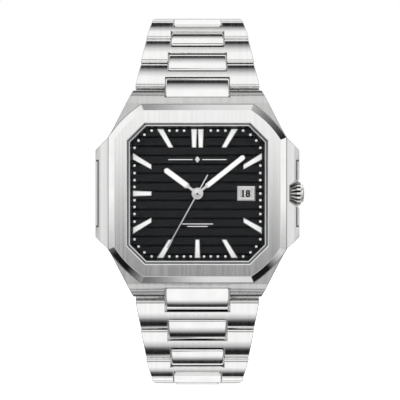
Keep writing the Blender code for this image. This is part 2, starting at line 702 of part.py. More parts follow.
def chain_frame(sign, start, tilt):
    """Mapping from a piece's own (along, up, across) to the world."""
    along_y = math.sin(tilt)
    along_z = sign * math.cos(tilt)
    up_y = -math.cos(tilt)
    up_z = sign * math.sin(tilt)

    def place(along, up, across):
        y = start[0] + along * along_y + up * up_y
        z = start[1] + along * along_z + up * up_z
        return Vector((across, y, z))

    return place


def half_width_at(gap_index):
    """Bracelet half width at a gap, counted from the case."""
    return max(WIDTH_AT_CLASP, WIDTH_AT_CASE - TAPER_PER_PITCH * gap_index) / 2


def make_outer_link(name, place, wide, narrow, near_notch, far_notch):
    """H-shaped link: two cheeks joined by a crossbar, made as one closed mesh.

    The crossbar lies between the two notch walls, so the profile is split there.
    """
    low = -PIN_FROM_END
    high = BODY_SPACING + PIN_FROM_END
    wall_low = CENTRE_OVERHANG + LINK_GAP
    wall_high = BODY_SPACING - CENTRE_OVERHANG - LINK_GAP
    upper, lower = link_profile(low, high, (wall_low, BODY_SPACING / 2, wall_high))
    made = bmesh.new()

    def outer(along):
        return wide + (narrow - wide) * (along - low) / (high - low)

    def column(run, across):
        """One vertex for each point of a run, at a fixed or tapered distance from the middle."""
        return {point: made.verts.new(place(point[0], point[1], across(point[0]))) for point in run}

    outline = upper + list(reversed(lower))

    def between(first, last):
        return [point for point in outline if first - TINY <= point[0] <= last + TINY]

    near_part = between(low, wall_low)
    bar_part = between(wall_low, wall_high)
    far_part = between(wall_high, high)
    inner_columns = []
    for sign in (1, -1):
        skin = column(outline, lambda along: sign * outer(along))
        near_column = column(near_part, lambda along: sign * near_notch)
        far_column = column(far_part, lambda along: sign * far_notch)
        middle = column([p for p in bar_part if p not in near_column and p not in far_column],
                        lambda along: sign * (near_notch + far_notch) / 2)
        inner = {**near_column, **far_column, **middle}
        made.faces.new([skin[point] for point in outline])
        for first, second in zip(outline, outline[1:] + outline[:1]):
            made.faces.new((skin[first], skin[second], inner[second], inner[first]))
        made.faces.new([inner[point] for point in near_part])
        made.faces.new([inner[point] for point in far_part])
        inner_columns.append(inner)
    right, left = inner_columns
    for first, second in zip(bar_part, bar_part[1:] + bar_part[:1]):
        made.faces.new((right[first], right[second], left[second], left[first]))
    return finish(made, name, brushed_steel(), place(0.0, 0.0, 0.0))


def make_centre_link(name, place, half_width):
    low = -CENTRE_OVERHANG
    high = PIN_SPACING + CENTRE_OVERHANG
    upper, lower = link_profile(low, high, [PIN_SPACING * share for share in CENTRE_STATIONS])
    outline = upper + list(reversed(lower))
    prism(outline, -half_width, half_width, place, name, polished_steel(), place(0.0, 0.0, 0.0))


def make_bracelet_side(label, sign, tilts, first_tilt):
    """Pin by pin from the case to the clasp; returns the last pin and the last tilt."""
    pin = (-CASE_PIN[1], sign * CASE_PIN[0])
    before = None
    for index in range(LINKS_PER_SIDE):
        link_tilt = math.radians(tilts[index])
        centre_tilt = math.radians(first_tilt) if before is None else (before + link_tilt) / 2
        place = chain_frame(sign, pin, centre_tilt)
        near = CENTRE_SHARE * half_width_at(index)
        far = CENTRE_SHARE * half_width_at(index + 1)
        make_centre_link(f"{label}_centre_{index + 1}", place, near)
        joint = place(PIN_SPACING, 0.0, 0.0)
        place = chain_frame(sign, (joint.y, joint.z), link_tilt)
        make_outer_link(f"{label}_link_{index + 1}", place, half_width_at(index), half_width_at(index + 1),
                        near + SIDE_GAP, far + SIDE_GAP)
        end = place(BODY_SPACING, 0.0, 0.0)
        pin = (end.y, end.z)
        before = link_tilt
    return pin


def clasp_frame(lower_pin, upper_pin):
    """Clasp coordinates: along from the lower pin to the upper pin, up away from the wrist."""
    span = math.dist(lower_pin, upper_pin)
    tilt = math.pi - math.atan2(upper_pin[0] - lower_pin[0], upper_pin[1] - lower_pin[1])
    return chain_frame(-1, lower_pin, tilt), span


def cover_hinge(place, span):
    return place(span - COVER_END - COVER_KNUCKLE, COVER_HINGE_HEIGHT, 0.0)


def blade_hinge(place):
    return place(BLADE_START, (OUTER_BLADE[0] + INNER_BLADE[1]) / 2, 0.0)


def make_clasp_cover(place, span):
    """Channel with a tongue in the last lower link, hinged to the outer blade at its other end."""
    hinge_along = span - COVER_END - COVER_KNUCKLE
    knuckle = fillet((hinge_along, COVER_HINGE_HEIGHT), COVER_KNUCKLE, -90, 90, 6)
    outline = [(COVER_START, CLASP_TOP), (COVER_START, CLASP_SKIRT), (hinge_along, CLASP_SKIRT), *knuckle]
    cover = prism(outline, -CLASP_HALF_WIDTH, CLASP_HALF_WIDTH, place, "clasp_cover", brushed_steel(),
                  cover_hinge(place, span))
    inside = CLASP_HALF_WIDTH - CLASP_WALL
    plate_bottom = COVER_HINGE_HEIGHT - COVER_KNUCKLE
    below = CLASP_SKIRT - OVERCUT
    hollow = [(0.0, plate_bottom), (0.0, below), (span, below), (span, plate_bottom)]
    combine(cover, prism(hollow, -inside, inside, place), "DIFFERENCE")
    near = BUTTON_PLACE - BUTTON_HALF_LENGTH - FIT_GAP
    far = BUTTON_PLACE + BUTTON_HALF_LENGTH + FIT_GAP
    top = BUTTON_HEIGHTS[1] + FIT_GAP
    window = [(near, top), (near, below), (far, below), (far, top)]
    combine(cover, prism(window, -2 * CLASP_HALF_WIDTH, 2 * CLASP_HALF_WIDTH, place), "DIFFERENCE")
    tongue = CENTRE_SHARE * WIDTH_AT_CLASP / 2
    arm = [*fillet((0.0, 0.0), TONGUE_RADIUS, 90, 270, 8),
           (TONGUE_ROOT, TONGUE_BOTTOM), (TONGUE_ROOT, TONGUE_TOP)]
    combine(cover, prism(arm, -tongue, tongue, place), "UNION")


def make_clasp_blades(place, span):
    """Two flat blades that fold on each other under the cover."""
    blade_width = CLASP_BLADE_HALF_WIDTH
    low, high = OUTER_BLADE
    outer_end = span - COVER_END - 2 * COVER_KNUCKLE
    outline = [(BLADE_START, low), (outer_end, low), (outer_end, high), (BLADE_START, high)]
    prism(outline, -blade_width, blade_width, place, "clasp_outer_blade", brushed_steel(), blade_hinge(place))
    low, high = INNER_BLADE
    inner_end = span - COVER_END
    outline = [(BLADE_START, low), (inner_end, low), (inner_end, high), (BLADE_START, high)]
    inner = prism(outline, -blade_width, blade_width, place, "clasp_inner_blade", brushed_steel(),
                  place(span, 0.0, 0.0))
    tongue = CENTRE_SHARE * WIDTH_AT_CLASP / 2
    nose, nose_top = HOOK_NOSE
    hook = [*fillet((span, 0.0), TONGUE_RADIUS, -90, 90, 8), (inner_end, HOOK_TOP),
            (inner_end - nose, nose_top), (inner_end - HOOK_LENGTH, low)]
    combine(inner, prism(hook, -tongue, tongue, place), "UNION")


def make_push_buttons(place):
    middle = sum(BUTTON_HEIGHTS) / 2
    height = BUTTON_HEIGHTS[1] - BUTTON_HEIGHTS[0]
    outline = rectangle(2 * BUTTON_HALF_LENGTH, height, (BUTTON_PLACE, middle))
    for name, sign in (("push_button_right", 1), ("push_button_left", -1)):
        near, far = sorted(sign * reach for reach in BUTTON_SPAN)
        origin = place(BUTTON_PLACE, middle, sign * BUTTON_SPAN[1])
        prism(outline, near, far, place, name, polished_steel(), origin)


def build():
    for old in list(bpy.data.objects):
        bpy.data.objects.remove(old)
    make_case_middle()
    make_bezel()
    make_crystal()
    make_dial_flange()
    make_dial()
    make_date()
    make_hands()
    make_movement()
    make_crown()
    make_back()
    upper_pin = make_bracelet_side("upper", 1, UPPER_TILTS, UPPER_FIRST_TILT)
    lower_pin = make_bracelet_side("lower", -1, LOWER_TILTS, LOWER_FIRST_TILT)
    place, span = clasp_frame(lower_pin, upper_pin)
    make_clasp_cover(place, span)
    make_clasp_blades(place, span)
    make_push_buttons(place)


build()
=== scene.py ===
"""Looks of the wristwatch: finely modelled pieces, metals, dial, light and camera over the fixed frame.

The dial faces -Y, 12 o'clock is +Z and the crown is at +X. A height is a distance from the case
back's outer face towards the dial, so y = -height. Lengths are in metres.
"""

import json
import math

import bmesh
import bpy
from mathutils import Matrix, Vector


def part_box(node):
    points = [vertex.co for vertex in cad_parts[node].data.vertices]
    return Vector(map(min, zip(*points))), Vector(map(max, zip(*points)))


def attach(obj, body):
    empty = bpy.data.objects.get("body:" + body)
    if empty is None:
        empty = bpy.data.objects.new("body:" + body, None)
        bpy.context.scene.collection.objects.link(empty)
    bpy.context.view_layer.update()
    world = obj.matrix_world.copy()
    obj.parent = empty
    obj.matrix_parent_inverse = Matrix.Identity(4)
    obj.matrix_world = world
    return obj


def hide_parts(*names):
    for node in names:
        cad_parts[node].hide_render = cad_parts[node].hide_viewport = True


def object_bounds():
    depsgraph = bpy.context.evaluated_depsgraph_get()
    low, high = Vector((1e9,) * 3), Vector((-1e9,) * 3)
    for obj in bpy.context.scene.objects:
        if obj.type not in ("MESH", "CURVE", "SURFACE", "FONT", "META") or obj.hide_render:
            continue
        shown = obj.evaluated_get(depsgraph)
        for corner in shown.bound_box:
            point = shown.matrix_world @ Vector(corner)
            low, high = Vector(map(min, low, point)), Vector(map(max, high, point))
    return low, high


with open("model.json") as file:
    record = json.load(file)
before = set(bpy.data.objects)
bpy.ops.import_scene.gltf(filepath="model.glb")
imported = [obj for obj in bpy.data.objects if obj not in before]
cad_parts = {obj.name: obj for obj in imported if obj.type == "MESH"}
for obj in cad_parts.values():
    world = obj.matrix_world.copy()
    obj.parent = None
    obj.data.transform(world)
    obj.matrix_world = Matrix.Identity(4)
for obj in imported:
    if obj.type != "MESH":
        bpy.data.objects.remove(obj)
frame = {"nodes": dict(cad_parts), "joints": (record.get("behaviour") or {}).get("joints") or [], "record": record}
cad_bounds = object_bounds()

MM = 0.001
RECORD = frame["record"]
JOINTS = {joint["name"]: joint for joint in frame["joints"]}
BODY_OF = {node: body for body, nodes in RECORD["behaviour"]["bodies"].items() for node in nodes}

# Shared shapes
SMOOTH_ANGLE = math.radians(28)
MITRE_ANGLE = math.radians(15)
ROUND_SEGMENTS = 96
TINY = 1e-9

# Surfaces: depths of fine marks, and how much darker a soft cloud on polished steel is
HAIRLINE_DEPTH = 0.0006 * MM
STRIPE_DEPTH = 0.004 * MM
CLOUD_SHADE = 0.94

# Bezel, opening and flange
BEZEL_CORNER = 11.45 * MM
BEZEL_BULGE = 0.49 * MM
BEZEL_CHAMFER = 1.25 * MM
BEZEL_CHAMFER_DROP = 1.0 * MM
OPENING_HALF_WIDTH = 14.3 * MM
OPENING_CORNER = 10.65 * MM
OPENING_LIP = 0.2 * MM
# How far the black ring of painted shadow round the bezel stands out past its outline
SHADOW_GAP_PROUD = 0.17 * MM
CORNER_STEPS = 18
FLANGE_INNER_TOP = 13.95 * MM
FLANGE_LINE = 13.8 * MM
FLANGE_LINE_DROP = 0.07 * MM
FLANGE_STRIP = 13.72 * MM
FLANGE_STRIP_DROP = 0.55 * MM
FLANGE_INNER_BOTTOM = 13.36 * MM

# Case top, between and beside the lugs
CASE_TOP = 8.3 * MM
SHOULDER_LEVEL = 11.4 * MM
ROLL_START = 18.6 * MM
ROLL_END = 21.33 * MM
ROLL_DROP = 2.2 * MM
ROLL_ANGLE = math.radians(78)
LIP_HALF_WIDTH = 6.8 * MM
LIP_ENDS = (19.75 * MM, -19.35 * MM)
LIP_BOTTOM = 7.3 * MM
LIP_PROUD = 0.02 * MM
GROOVE_LINE = 20.41 * MM
GROOVE_HALF_LENGTH = 6.75 * MM
CASE_GROOVE_WIDTH = 0.2 * MM
CASE_GROOVE_FLOOR = 6.6 * MM
BEVEL_START = 19.87 * MM
# Lug ends whose slope towards the dial side lies in this range get near-black steel: painted shade
LUG_PAINTED_SHADE = (0.42, 0.6)
# Parts of a face's normal: it looks along an axis, or leans that way
SQUARE_ON = 0.95
LEANING = 0.2

# Dial
DIAL_TOP = 8.2 * MM
DIAL_CORNER = 10.8 * MM
DIAL_HOLE = 1.0 * MM
GROOVE_PITCH = 1.85 * MM
GROOVE_OFFSET = 0.45 * MM
GROOVE_HALF_WIDTH = 0.2 * MM
GROOVE_DEPTH = 0.16 * MM
MARKER_OUTER = 13.25 * MM
MARKER_INNER = 9.43 * MM
MARKER_HALF_WIDTH = (0.58 * MM, 0.44 * MM)
MARKER_FRAME = 0.13 * MM
MARKER_HEIGHT = 0.3 * MM
DOUBLE_MARKER_OFFSET = 0.68 * MM
DOT_RADIUS = 0.27 * MM
DOT_TRACK_SIDE = 12.93 * MM
DOT_TRACK_CORNER = 16.25 * MM
DATE_APERTURE = (2.3 * MM, 1.6 * MM)
DATE_RIDGE = (3.2 * MM, 2.5 * MM)
NUMERAL_HEIGHT = 1.3 * MM
NUMERAL_WEIGHT = 0.095 * MM
NUMERAL_RELIEF = 0.02 * MM
NUMERAL_SPACING = 1.05
DIGIT_SHARE = 0.7
DAYS = 31
FIRST_DAY = 18

# Printed ornament: lozenge, and lines as centre across, level and length
EMBLEM = (0.55 * MM, 0.7 * MM)
EMBLEM_LEVEL = 6.97 * MM
PRINT_WIDTH = 0.15 * MM
PRINTED_LINES = ((-3.5 * MM, 6.97 * MM, 5.0 * MM), (3.5 * MM, 6.97 * MM, 5.0 * MM),
                 (0.0, -6.25 * MM, 6.4 * MM), (0.0, -6.75 * MM, 4.2 * MM))

# Hands: angle from 12 o'clock, length, half width, neck half width, hub radius, neck length
HOUR_HAND = (306.5, 8.4 * MM, 0.6 * MM, 0.27 * MM, 1.2 * MM, 2.3 * MM)
MINUTE_HAND = (51.6, 12.3 * MM, 0.53 * MM, 0.25 * MM, 1.1 * MM, 2.25 * MM)
SECONDS_HAND = (208.9, 12.7 * MM, 0.13 * MM, 0.12 * MM, 0.5 * MM, 1.0 * MM)
SECONDS_TAIL = 4.4 * MM
HAND_THICKNESS = 0.22 * MM
HAND_FRAME = 0.17 * MM
SHOULDER_SHARE = 0.4
PIPE_SHARE = 0.4

# Bracelet links, measured from the pin nearer the case
PIN_FROM_END = 1.35 * MM
BODY_SPACING = 4.1 * MM
CENTRE_OVERHANG = 1.0 * MM
LINK_GAP = 0.2 * MM
SIDE_GAP = 0.15 * MM
LINK_TOP = 1.4 * MM
LINK_CROWN = 0.2 * MM
LINK_BOTTOM = -1.3 * MM
NEAR_FILLET = 0.22 * MM
FAR_FILLET = 0.5 * MM
BOTTOM_FILLET = 1.1 * MM
LINK_EDGE = 0.14 * MM
CENTRE_EDGE = 0.35 * MM
CENTRE_EDGE_LIFT = 0.35
PLAIN_FALL = (-6.7, 6.7)
# Angle of a link's top surface to the link at its near and far ends, in degrees; it falls to the far end
SURFACE_FALL = {"upper_centre_1": (-6.0, 4.3), "upper_centre_2": (-0.5, 8.2), "upper_centre_3": (0.6, 10.4),
                "upper_centre_4": (-2.0, 5.0), "upper_link_1": (0.1, 8.9), "upper_link_2": (-1.2, 7.6),
                "upper_link_3": (-6.0, 1.8), "upper_link_4": (-5.5, 5.0), "lower_centre_1": (-4.0, 7.5),
                "lower_centre_2": (-3.0, 7.6), "lower_centre_3": (0.6, 7.7), "lower_centre_4": (-4.0, 6.0),
                "lower_link_1": (-3.5, 8.3), "lower_link_2": (-4.0, 7.0), "lower_link_3": (-1.9, 6.8),
                "lower_link_4": (-3.0, 7.5)}
PIN_HEAD = 0.5 * MM
PIN_HEAD_PROUD = 0.04 * MM

# Studio cards above and below the object: brightness by the angle from the lens, in degrees
CARDS_ABOVE = ((0, 1.0), (62, 1.0), (65.5, 0.72), (69, 0.38), (71, 0.02), (75.5, 0.02), (77, 0.7),
               (83.5, 1.0), (90, 1.0), (93.5, 0.72), (96.3, 0.38), (98, 0.01), (102.5, 0.01), (104, 1.0),
               (113.5, 1.0), (117, 0.5), (119.5, 0.01), (124, 0.01), (126.5, 1.0), (160, 1.0), (168, 0.5),
               (174, 0.03), (180, 0.03))
CARDS_BELOW = ((0, 1.0), (40, 1.0), (43, 0.5), (45.5, 0.02), (49.5, 0.02), (51.5, 1.0), (62, 1.0),
               (66.5, 0.55), (70, 0.01), (75.5, 0.01), (77, 0.7), (83.5, 1.0), (89.5, 1.0), (92.3, 0.5),
               (94.5, 0.01), (98.5, 0.01), (100, 1.0), (107.5, 1.0), (111, 0.5), (113.5, 0.01), (118, 0.01),
               (120, 1.0), (158, 1.0), (166, 0.5), (172, 0.03), (180, 0.03))
# Ring of cards round the lens: brightness by bearing from straight up, in degrees
RING_PATTERN = ((-180, 0.75), (-178.7, 0.16), (-168, 0.25), (-160, 0.95), (-153, 0.55), (-144, 0.2),
                (-137, 0.01), (-126, 0.01), (-119, 0.3), (-91.8, 0.4), (-90.4, 1.0), (-40, 1.0),
                (-1.6, 0.28), (-0.2, 0.7), (0.3, 0.8), (1.6, 0.86), (28, 0.62), (40, 0.25), (48, 0.12),
                (56, 0.02), (72, 0.02), (77, 0.9), (90.3, 1.0), (91.7, 0.42), (120, 0.5), (125, 0.75),
                (134, 0.12), (136, 0.01), (147, 0.01), (149, 0.4), (160, 0.5), (180, 0.8))
# Where each band begins and ends, in degrees from the lens
NARROW_RING = ((76.5, 77.5), (82.0, 83.0))
WIDE_RING = ((68.0, 71.0), (84.0, 87.0))
FLAG_BAND = ((116, 120), (146, 152))
SIDE_CARD_END = (84, 88)
HOOD_END = (8, 14)
HOOD_SPLIT = 2.6
SIDE_CARD = 1.15
FLAG = 0.08

# Camera and studio
CAMERA_DISTANCE = 430.0 * MM
CAMERA_OFFSET = (0.53 * MM, -1.33 * MM)
LENS = 188.5
SENSOR = 36.0
LAMP_PLACE = (-0.35, -0.5, 0.45)
LAMP_SIZE = 0.5
LAMP_POWER = 0.7
FLOOR_RADIUS = 1.5
FLOOR_DROP = 0.5 * MM
FLOOR_GLOW = 0.7


# ---------------------------------------------------------------- materials

def new_material(name, metallic, roughness, colour):
    """Principled material with its uniform values on the shader's own sockets."""
    made = bpy.data.materials.new(name)
    made.use_nodes = True
    shader = made.node_tree.nodes["Principled BSDF"]
    shader.inputs["Metallic"].default_value = metallic
    shader.inputs["Roughness"].default_value = roughness
    shader.inputs["Base Color"].default_value = (*colour, 1.0)
    made.diffuse_color = (*colour, 1.0)
    return made


def join(material, output, target):
    material.node_tree.links.new(output, target)


def noise(material, cells, detail=3.0):
    """Noise in the piece's own coordinates; cells is its number of cells per metre along X, Y and Z."""
    nodes = material.node_tree.nodes
    coordinates = nodes.new("ShaderNodeTexCoord")
    mapping = nodes.new("ShaderNodeMapping")
    mapping.inputs["Scale"].default_value = cells
    texture = nodes.new("ShaderNodeTexNoise")
    texture.inputs["Scale"].default_value = 1.0
    texture.inputs["Detail"].default_value = detail
    join(material, coordinates.outputs["Object"], mapping.inputs["Vector"])
    join(material, mapping.outputs["Vector"], texture.inputs["Vector"])
    return texture.outputs["Fac"]


def ranged(material, factor, low, high, start=0.3, end=0.7):
    """Map a factor onto a range of values."""
    node = material.node_tree.nodes.new("ShaderNodeMapRange")
    node.inputs["From Min"].default_value = start
    node.inputs["From Max"].default_value = end
    node.inputs["To Min"].default_value = low
    node.inputs["To Max"].default_value = high
    join(material, factor, node.inputs["Value"])
    return node.outputs["Result"]


def tinted(material, factor, dark, light, start=0.3, end=0.7):
    """Colour that runs from dark to light with a factor."""
    node = material.node_tree.nodes.new("ShaderNodeValToRGB")
    node.color_ramp.elements[0].position = start
    node.color_ramp.elements[0].color = (*dark, 1.0)
    node.color_ramp.elements[1].position = end
    node.color_ramp.elements[1].color = (*light, 1.0)
    join(material, factor, node.inputs["Fac"])
    return node.outputs["Color"]


def combined(material, first, second, operation="ADD"):
    node = material.node_tree.nodes.new("ShaderNodeMath")
    node.operation = operation
    join(material, first, node.inputs[0])
    join(material, second, node.inputs[1])
    return node.outputs["Value"]


def surface(material, colour=None, roughness=None, height=None, depth=0.0):
    """Join colour, roughness and bump height to the shader."""
    shader = material.node_tree.nodes["Principled BSDF"]
    if colour is not None:
        join(material, colour, shader.inputs["Base Color"])
    if roughness is not None:
        join(material, roughness, shader.inputs["Roughness"])
    if height is not None:
        bump = material.node_tree.nodes.new("ShaderNodeBump")
        bump.inputs["Strength"].default_value = 1.0
        bump.inputs["Distance"].default_value = depth
        join(material, height, bump.inputs["Height"])
        join(material, bump.outputs["Normal"], shader.inputs["Normal"])
    return material


def brushed(name, fine, coarse, dark, light, roughness, depth):
    """Metal with fine parallel scratches, broader soft streaks and a little wear."""
    made = new_material(name, 1.0, roughness[0], light)
    scratches = noise(made, fine, 2.0)
    streaks = noise(made, coarse, 2.0)
    mixed = combined(made, scratches, streaks)
    colour = tinted(made, streaks, dark, light, 0.35, 0.65)
    rough = ranged(made, mixed, roughness[0], roughness[1], 0.7, 1.3)
    return surface(made, colour, rough, scratches, depth)


def polished(name, colour, roughness):
    """Mirror metal with hairline handling marks."""
    made = new_material(name, 1.0, roughness, colour)
    marks = noise(made, (2400.0, 900.0, 2400.0), 4.0)
    cloud = noise(made, (300.0, 300.0, 300.0), 2.0)
    dark = tuple(CLOUD_SHADE * value for value in colour)
    tint = tinted(made, cloud, dark, colour)
    rough = ranged(made, marks, roughness, roughness + 0.03)
    return surface(made, tint, rough, marks, HAIRLINE_DEPTH)


def painted(name, dark, light, roughness, grain, depth, metallic=0.0, specular=0.5):
    """Paint or lacquer with a fine grain."""
    made = new_material(name, metallic, roughness, light)
    made.node_tree.nodes["Principled BSDF"].inputs["Specular IOR Level"].default_value = specular
    grains = noise(made, (grain, grain, grain), 3.0)
    rough = ranged(made, grains, roughness - 0.05, roughness + 0.08)
    return surface(made, tinted(made, grains, dark, light), rough, grains, depth)


def striped(name, dark, light, bands):
    """Plated metal with straight decorative stripes and fine scratches."""
    made = new_material(name, 1.0, 0.28, light)
    nodes = made.node_tree.nodes
    coordinates = nodes.new("ShaderNodeTexCoord")
    wave = nodes.new("ShaderNodeTexWave")
    wave.bands_direction = "DIAGONAL"
    wave.wave_profile = "SAW"
    wave.inputs["Scale"].default_value = bands
    wave.inputs["Distortion"].default_value = 0.0
    join(made, coordinates.outputs["Object"], wave.inputs["Vector"])
    grain = noise(made, (5000.0, 5000.0, 5000.0), 2.0)
    height = combined(made, wave.outputs["Fac"], grain)
    rough = ranged(made, wave.outputs["Fac"], 0.2, 0.42, 0.0, 1.0)
    colour = tinted(made, wave.outputs["Fac"], dark, light, 0.0, 1.0)
    return surface(made, colour, rough, height, STRIPE_DEPTH)


def glass(name, alpha, colour):
    """Clear crystal with a faint haze, thin enough for light to pass straight through."""
    made = new_material(name, 0.0, 0.03, colour)
    shader = made.node_tree.nodes["Principled BSDF"]
    shader.inputs["Specular IOR Level"].default_value = 0.3
    haze = noise(made, (500.0, 500.0, 500.0), 3.0)
    join(made, ranged(made, haze, alpha * 0.8, alpha * 1.2), shader.inputs["Alpha"])
    return surface(made, roughness=ranged(made, haze, 0.02, 0.05))


MATERIALS = {
    "face_steel": brushed("face_steel", (9000.0, 150.0, 40.0), (2600.0, 150.0, 25.0),
                          (0.77, 0.77, 0.765), (0.84, 0.84, 0.835), (0.06, 0.12), 0.000003),
    "flank_top": brushed("flank_top", (6000.0, 900.0, 90.0), (700.0, 150.0, 40.0),
                         (0.9, 0.9, 0.895), (0.95, 0.95, 0.945), (0.3, 0.38), 0.000002),
    "flank_steel": brushed("flank_steel", (6000.0, 9000.0, 90.0), (700.0, 1500.0, 40.0),
                           (0.68, 0.68, 0.67), (0.86, 0.86, 0.85), (0.22, 0.34), 0.000004),
    "link_steel": brushed("link_steel", (9000.0, 120.0, 120.0), (1500.0, 60.0, 60.0),
                          (0.89, 0.89, 0.885), (0.94, 0.94, 0.935), (0.06, 0.1), 0.000001),
    "inner_steel": painted("inner_steel", (0.2, 0.2, 0.2), (0.3, 0.3, 0.3), 0.4, 5000.0, 0.000003, 1.0),
    "polished_steel": polished("polished_steel", (0.94, 0.94, 0.935), 0.03),
    "edge_steel": polished("edge_steel", (0.93, 0.93, 0.92), 0.12),
    "centre_steel": polished("centre_steel", (0.96, 0.96, 0.955), 0.06),
    # Dark steel for bevels along silhouettes: painted shade that draws dark edge lines
    "painted_edge_shade": polished("painted_edge_shade", (0.24, 0.24, 0.24), 0.25),
    # Near-black steel for the lug ends and the crown's flute valleys: painted shade
    "painted_shadow_steel": polished("painted_shadow_steel", (0.07, 0.07, 0.07), 0.25),
    "frame_steel": polished("frame_steel", (0.76, 0.76, 0.75), 0.2),
    # Steel much darker than steel for the flange: painted shade, with real lamp highlights on it
    "flange_painted_shade": painted("flange_painted_shade", (0.2, 0.2, 0.2), (0.28, 0.28, 0.28), 0.38, 5000.0, 0.000002, 1.0),
    "case_steel": brushed("case_steel", (9000.0, 150.0, 60.0), (1200.0, 150.0, 30.0),
                          (0.58, 0.58, 0.575), (0.64, 0.64, 0.635), (0.2, 0.26), 0.0000015),
    "dial_black": painted("dial_black", (0.008, 0.008, 0.009), (0.013, 0.013, 0.014), 0.42, 3000.0, 0.000003,
                          specular=0.12),
    # Blacker, barely glossy finish for the dial's groove floors and walls: painted shade in the grooves
    "groove_painted_shade": painted("groove_painted_shade", (0.001, 0.001, 0.001), (0.002, 0.002, 0.002), 0.5, 3000.0,
                            0.000002, specular=0.03),
    # Black for the ring that stands for the shadow gap round the bezel: painted shadow
    "shadow_gap_black": painted("shadow_gap_black", (0.006, 0.006, 0.006), (0.012, 0.012, 0.012), 0.55, 4000.0,
                            0.00001),
    "lume": painted("lume", (0.93, 0.93, 0.92), (0.98, 0.98, 0.97), 0.6, 9000.0, 0.000006),
    "disc_white": painted("disc_white", (0.94, 0.94, 0.93), (0.98, 0.98, 0.97), 0.6, 9000.0, 0.000001),
    "print_white": painted("print_white", (0.92, 0.92, 0.91), (0.97, 0.97, 0.96), 0.5, 9000.0, 0.000002),
    "ink": painted("ink", (0.008, 0.008, 0.008), (0.016, 0.016, 0.016), 0.5, 9000.0, 0.000002),
    "brass": striped("brass", (0.56, 0.42, 0.19), (0.74, 0.58, 0.3), 260.0),
    "nickel": striped("nickel", (0.56, 0.56, 0.54), (0.72, 0.72, 0.7), 190.0),
    "blued": polished("blued", (0.05, 0.09, 0.32), 0.15),
    "ruby": painted("ruby", (0.35, 0.01, 0.04), (0.5, 0.02, 0.07), 0.12, 3000.0, 0.000001),
    "crystal": glass("crystal", 0.03, (0.04, 0.05, 0.06)),
    "crystal_edge": glass("crystal_edge", 0.25, (0.25, 0.28, 0.3)),
}


# ---------------------------------------------------------------- shape helpers

def front(a, b, height):
    """Point of an outline seen from the front: a along X, b along Z."""
    return Vector((a, -height, b))


def heights(node):
    """Lowest and highest height of a node above the case back's face."""
    low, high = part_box(node)
    return -high.y, -low.y


def octagon(half_width, corner, bulge=0.0, steps=CORNER_STEPS):
    """Square outline with cut corners; each cut is a straight run or a shallow convex arc."""
    chord = math.sqrt(2) * (half_width - corner)
    points = []
    for quadrant in range(4):
        turn = quadrant * math.pi / 2
        for step in range(steps + 1):
            share = step / steps
            rise = 0.0
            if bulge:
                radius = (chord * chord / 4 + bulge * bulge) / (2 * bulge)
                offset = (share - 0.5) * chord
                rise = math.sqrt(radius * radius - offset * offset) - (radius - bulge)
            along = half_width - (half_width - corner) * share + rise / math.sqrt(2)
            across = corner + (half_width - corner) * share + rise / math.sqrt(2)
            points.append((along * math.cos(turn) - across * math.sin(turn),
                           along * math.sin(turn) + across * math.cos(turn)))
    return points


def inset_octagon(half_width, corner, inset, bulge=0.0, steps=CORNER_STEPS):
    """The same outline moved inwards by an equal width on every side."""
    return octagon(half_width - inset, corner - inset * math.tan(math.pi / 8), bulge, steps)


def arc(centre, radius, start, end, steps):
    """Points of an arc, from one angle to the other, in degrees."""
    points = []
    for step in range(steps + 1):
        angle = math.radians(start + (end - start) * step / steps)
        points.append((centre[0] + radius * math.cos(angle), centre[1] + radius * math.sin(angle)))
    return points


def rectangle(width, height, centre=(0.0, 0.0)):
    a, b = centre
    return [(a - width / 2, b - height / 2), (a + width / 2, b - height / 2),
            (a + width / 2, b + height / 2), (a - width / 2, b + height / 2)]


def loft(mesh_data, sections, place, ring=False, finishes=None):
    """Add a loft of (outline, height) sections; finishes gives each band's material index."""
    loops = [[mesh_data.verts.new(place(a, b, height)) for a, b in outline] for outline, height in sections]
    pairs = list(zip(loops, loops[1:]))
    if ring:
        pairs.append((loops[-1], loops[0]))
    count = len(loops[0])
    for band, (first, second) in enumerate(pairs):
        for index in range(count):
            after = (index + 1) % count
            face = mesh_data.faces.new((first[index], first[after], second[after], second[index]))
            face.material_index = finishes[band] if finishes else 0
    if not ring:
        mesh_data.faces.new(loops[0]).material_index = finishes[-1] if finishes else 0
        mesh_data.faces.new(loops[-1]).material_index = finishes[-1] if finishes else 0


def turn_profile(mesh_data, profile, place, ring=False, segments=ROUND_SEGMENTS, finishes=None,
                 radius_at=None):
    """Add a turned profile of (radius, reach) points; points on the axis become poles."""
    rings = []
    for radius, reach in profile:
        if radius == 0:
            rings.append([mesh_data.verts.new(place(0.0, 0.0, reach))])
            continue
        points = []
        for step in range(segments):
            angle = 2 * math.pi * step / segments
            local = radius_at(radius, reach, angle) if radius_at else radius
            points.append(mesh_data.verts.new(place(local * math.cos(angle), local * math.sin(angle), reach)))
        rings.append(points)
    pairs = list(zip(rings, rings[1:]))
    if ring:
        pairs.append((rings[-1], rings[0]))
    for band, (first, second) in enumerate(pairs):
        for step in range(segments):
            after = (step + 1) % segments
            if len(first) == 1:
                corners = (first[0], second[step], second[after])
            elif len(second) == 1:
                corners = (first[step], second[0], first[after])
            else:
                corners = (first[step], first[after], second[after], second[step])
            mesh_data.faces.new(corners).material_index = finishes[band] if finishes else 0


def new_object(name, data):
    made = bpy.data.objects.new(name, data)
    bpy.context.scene.collection.objects.link(made)
    return made


def evaluated_mesh(source):
    """The mesh of an object with its modifiers, or of its text, worked out."""
    bpy.context.view_layer.update()
    depsgraph = bpy.context.evaluated_depsgraph_get()
    return bpy.data.meshes.new_from_object(source.evaluated_get(depsgraph))


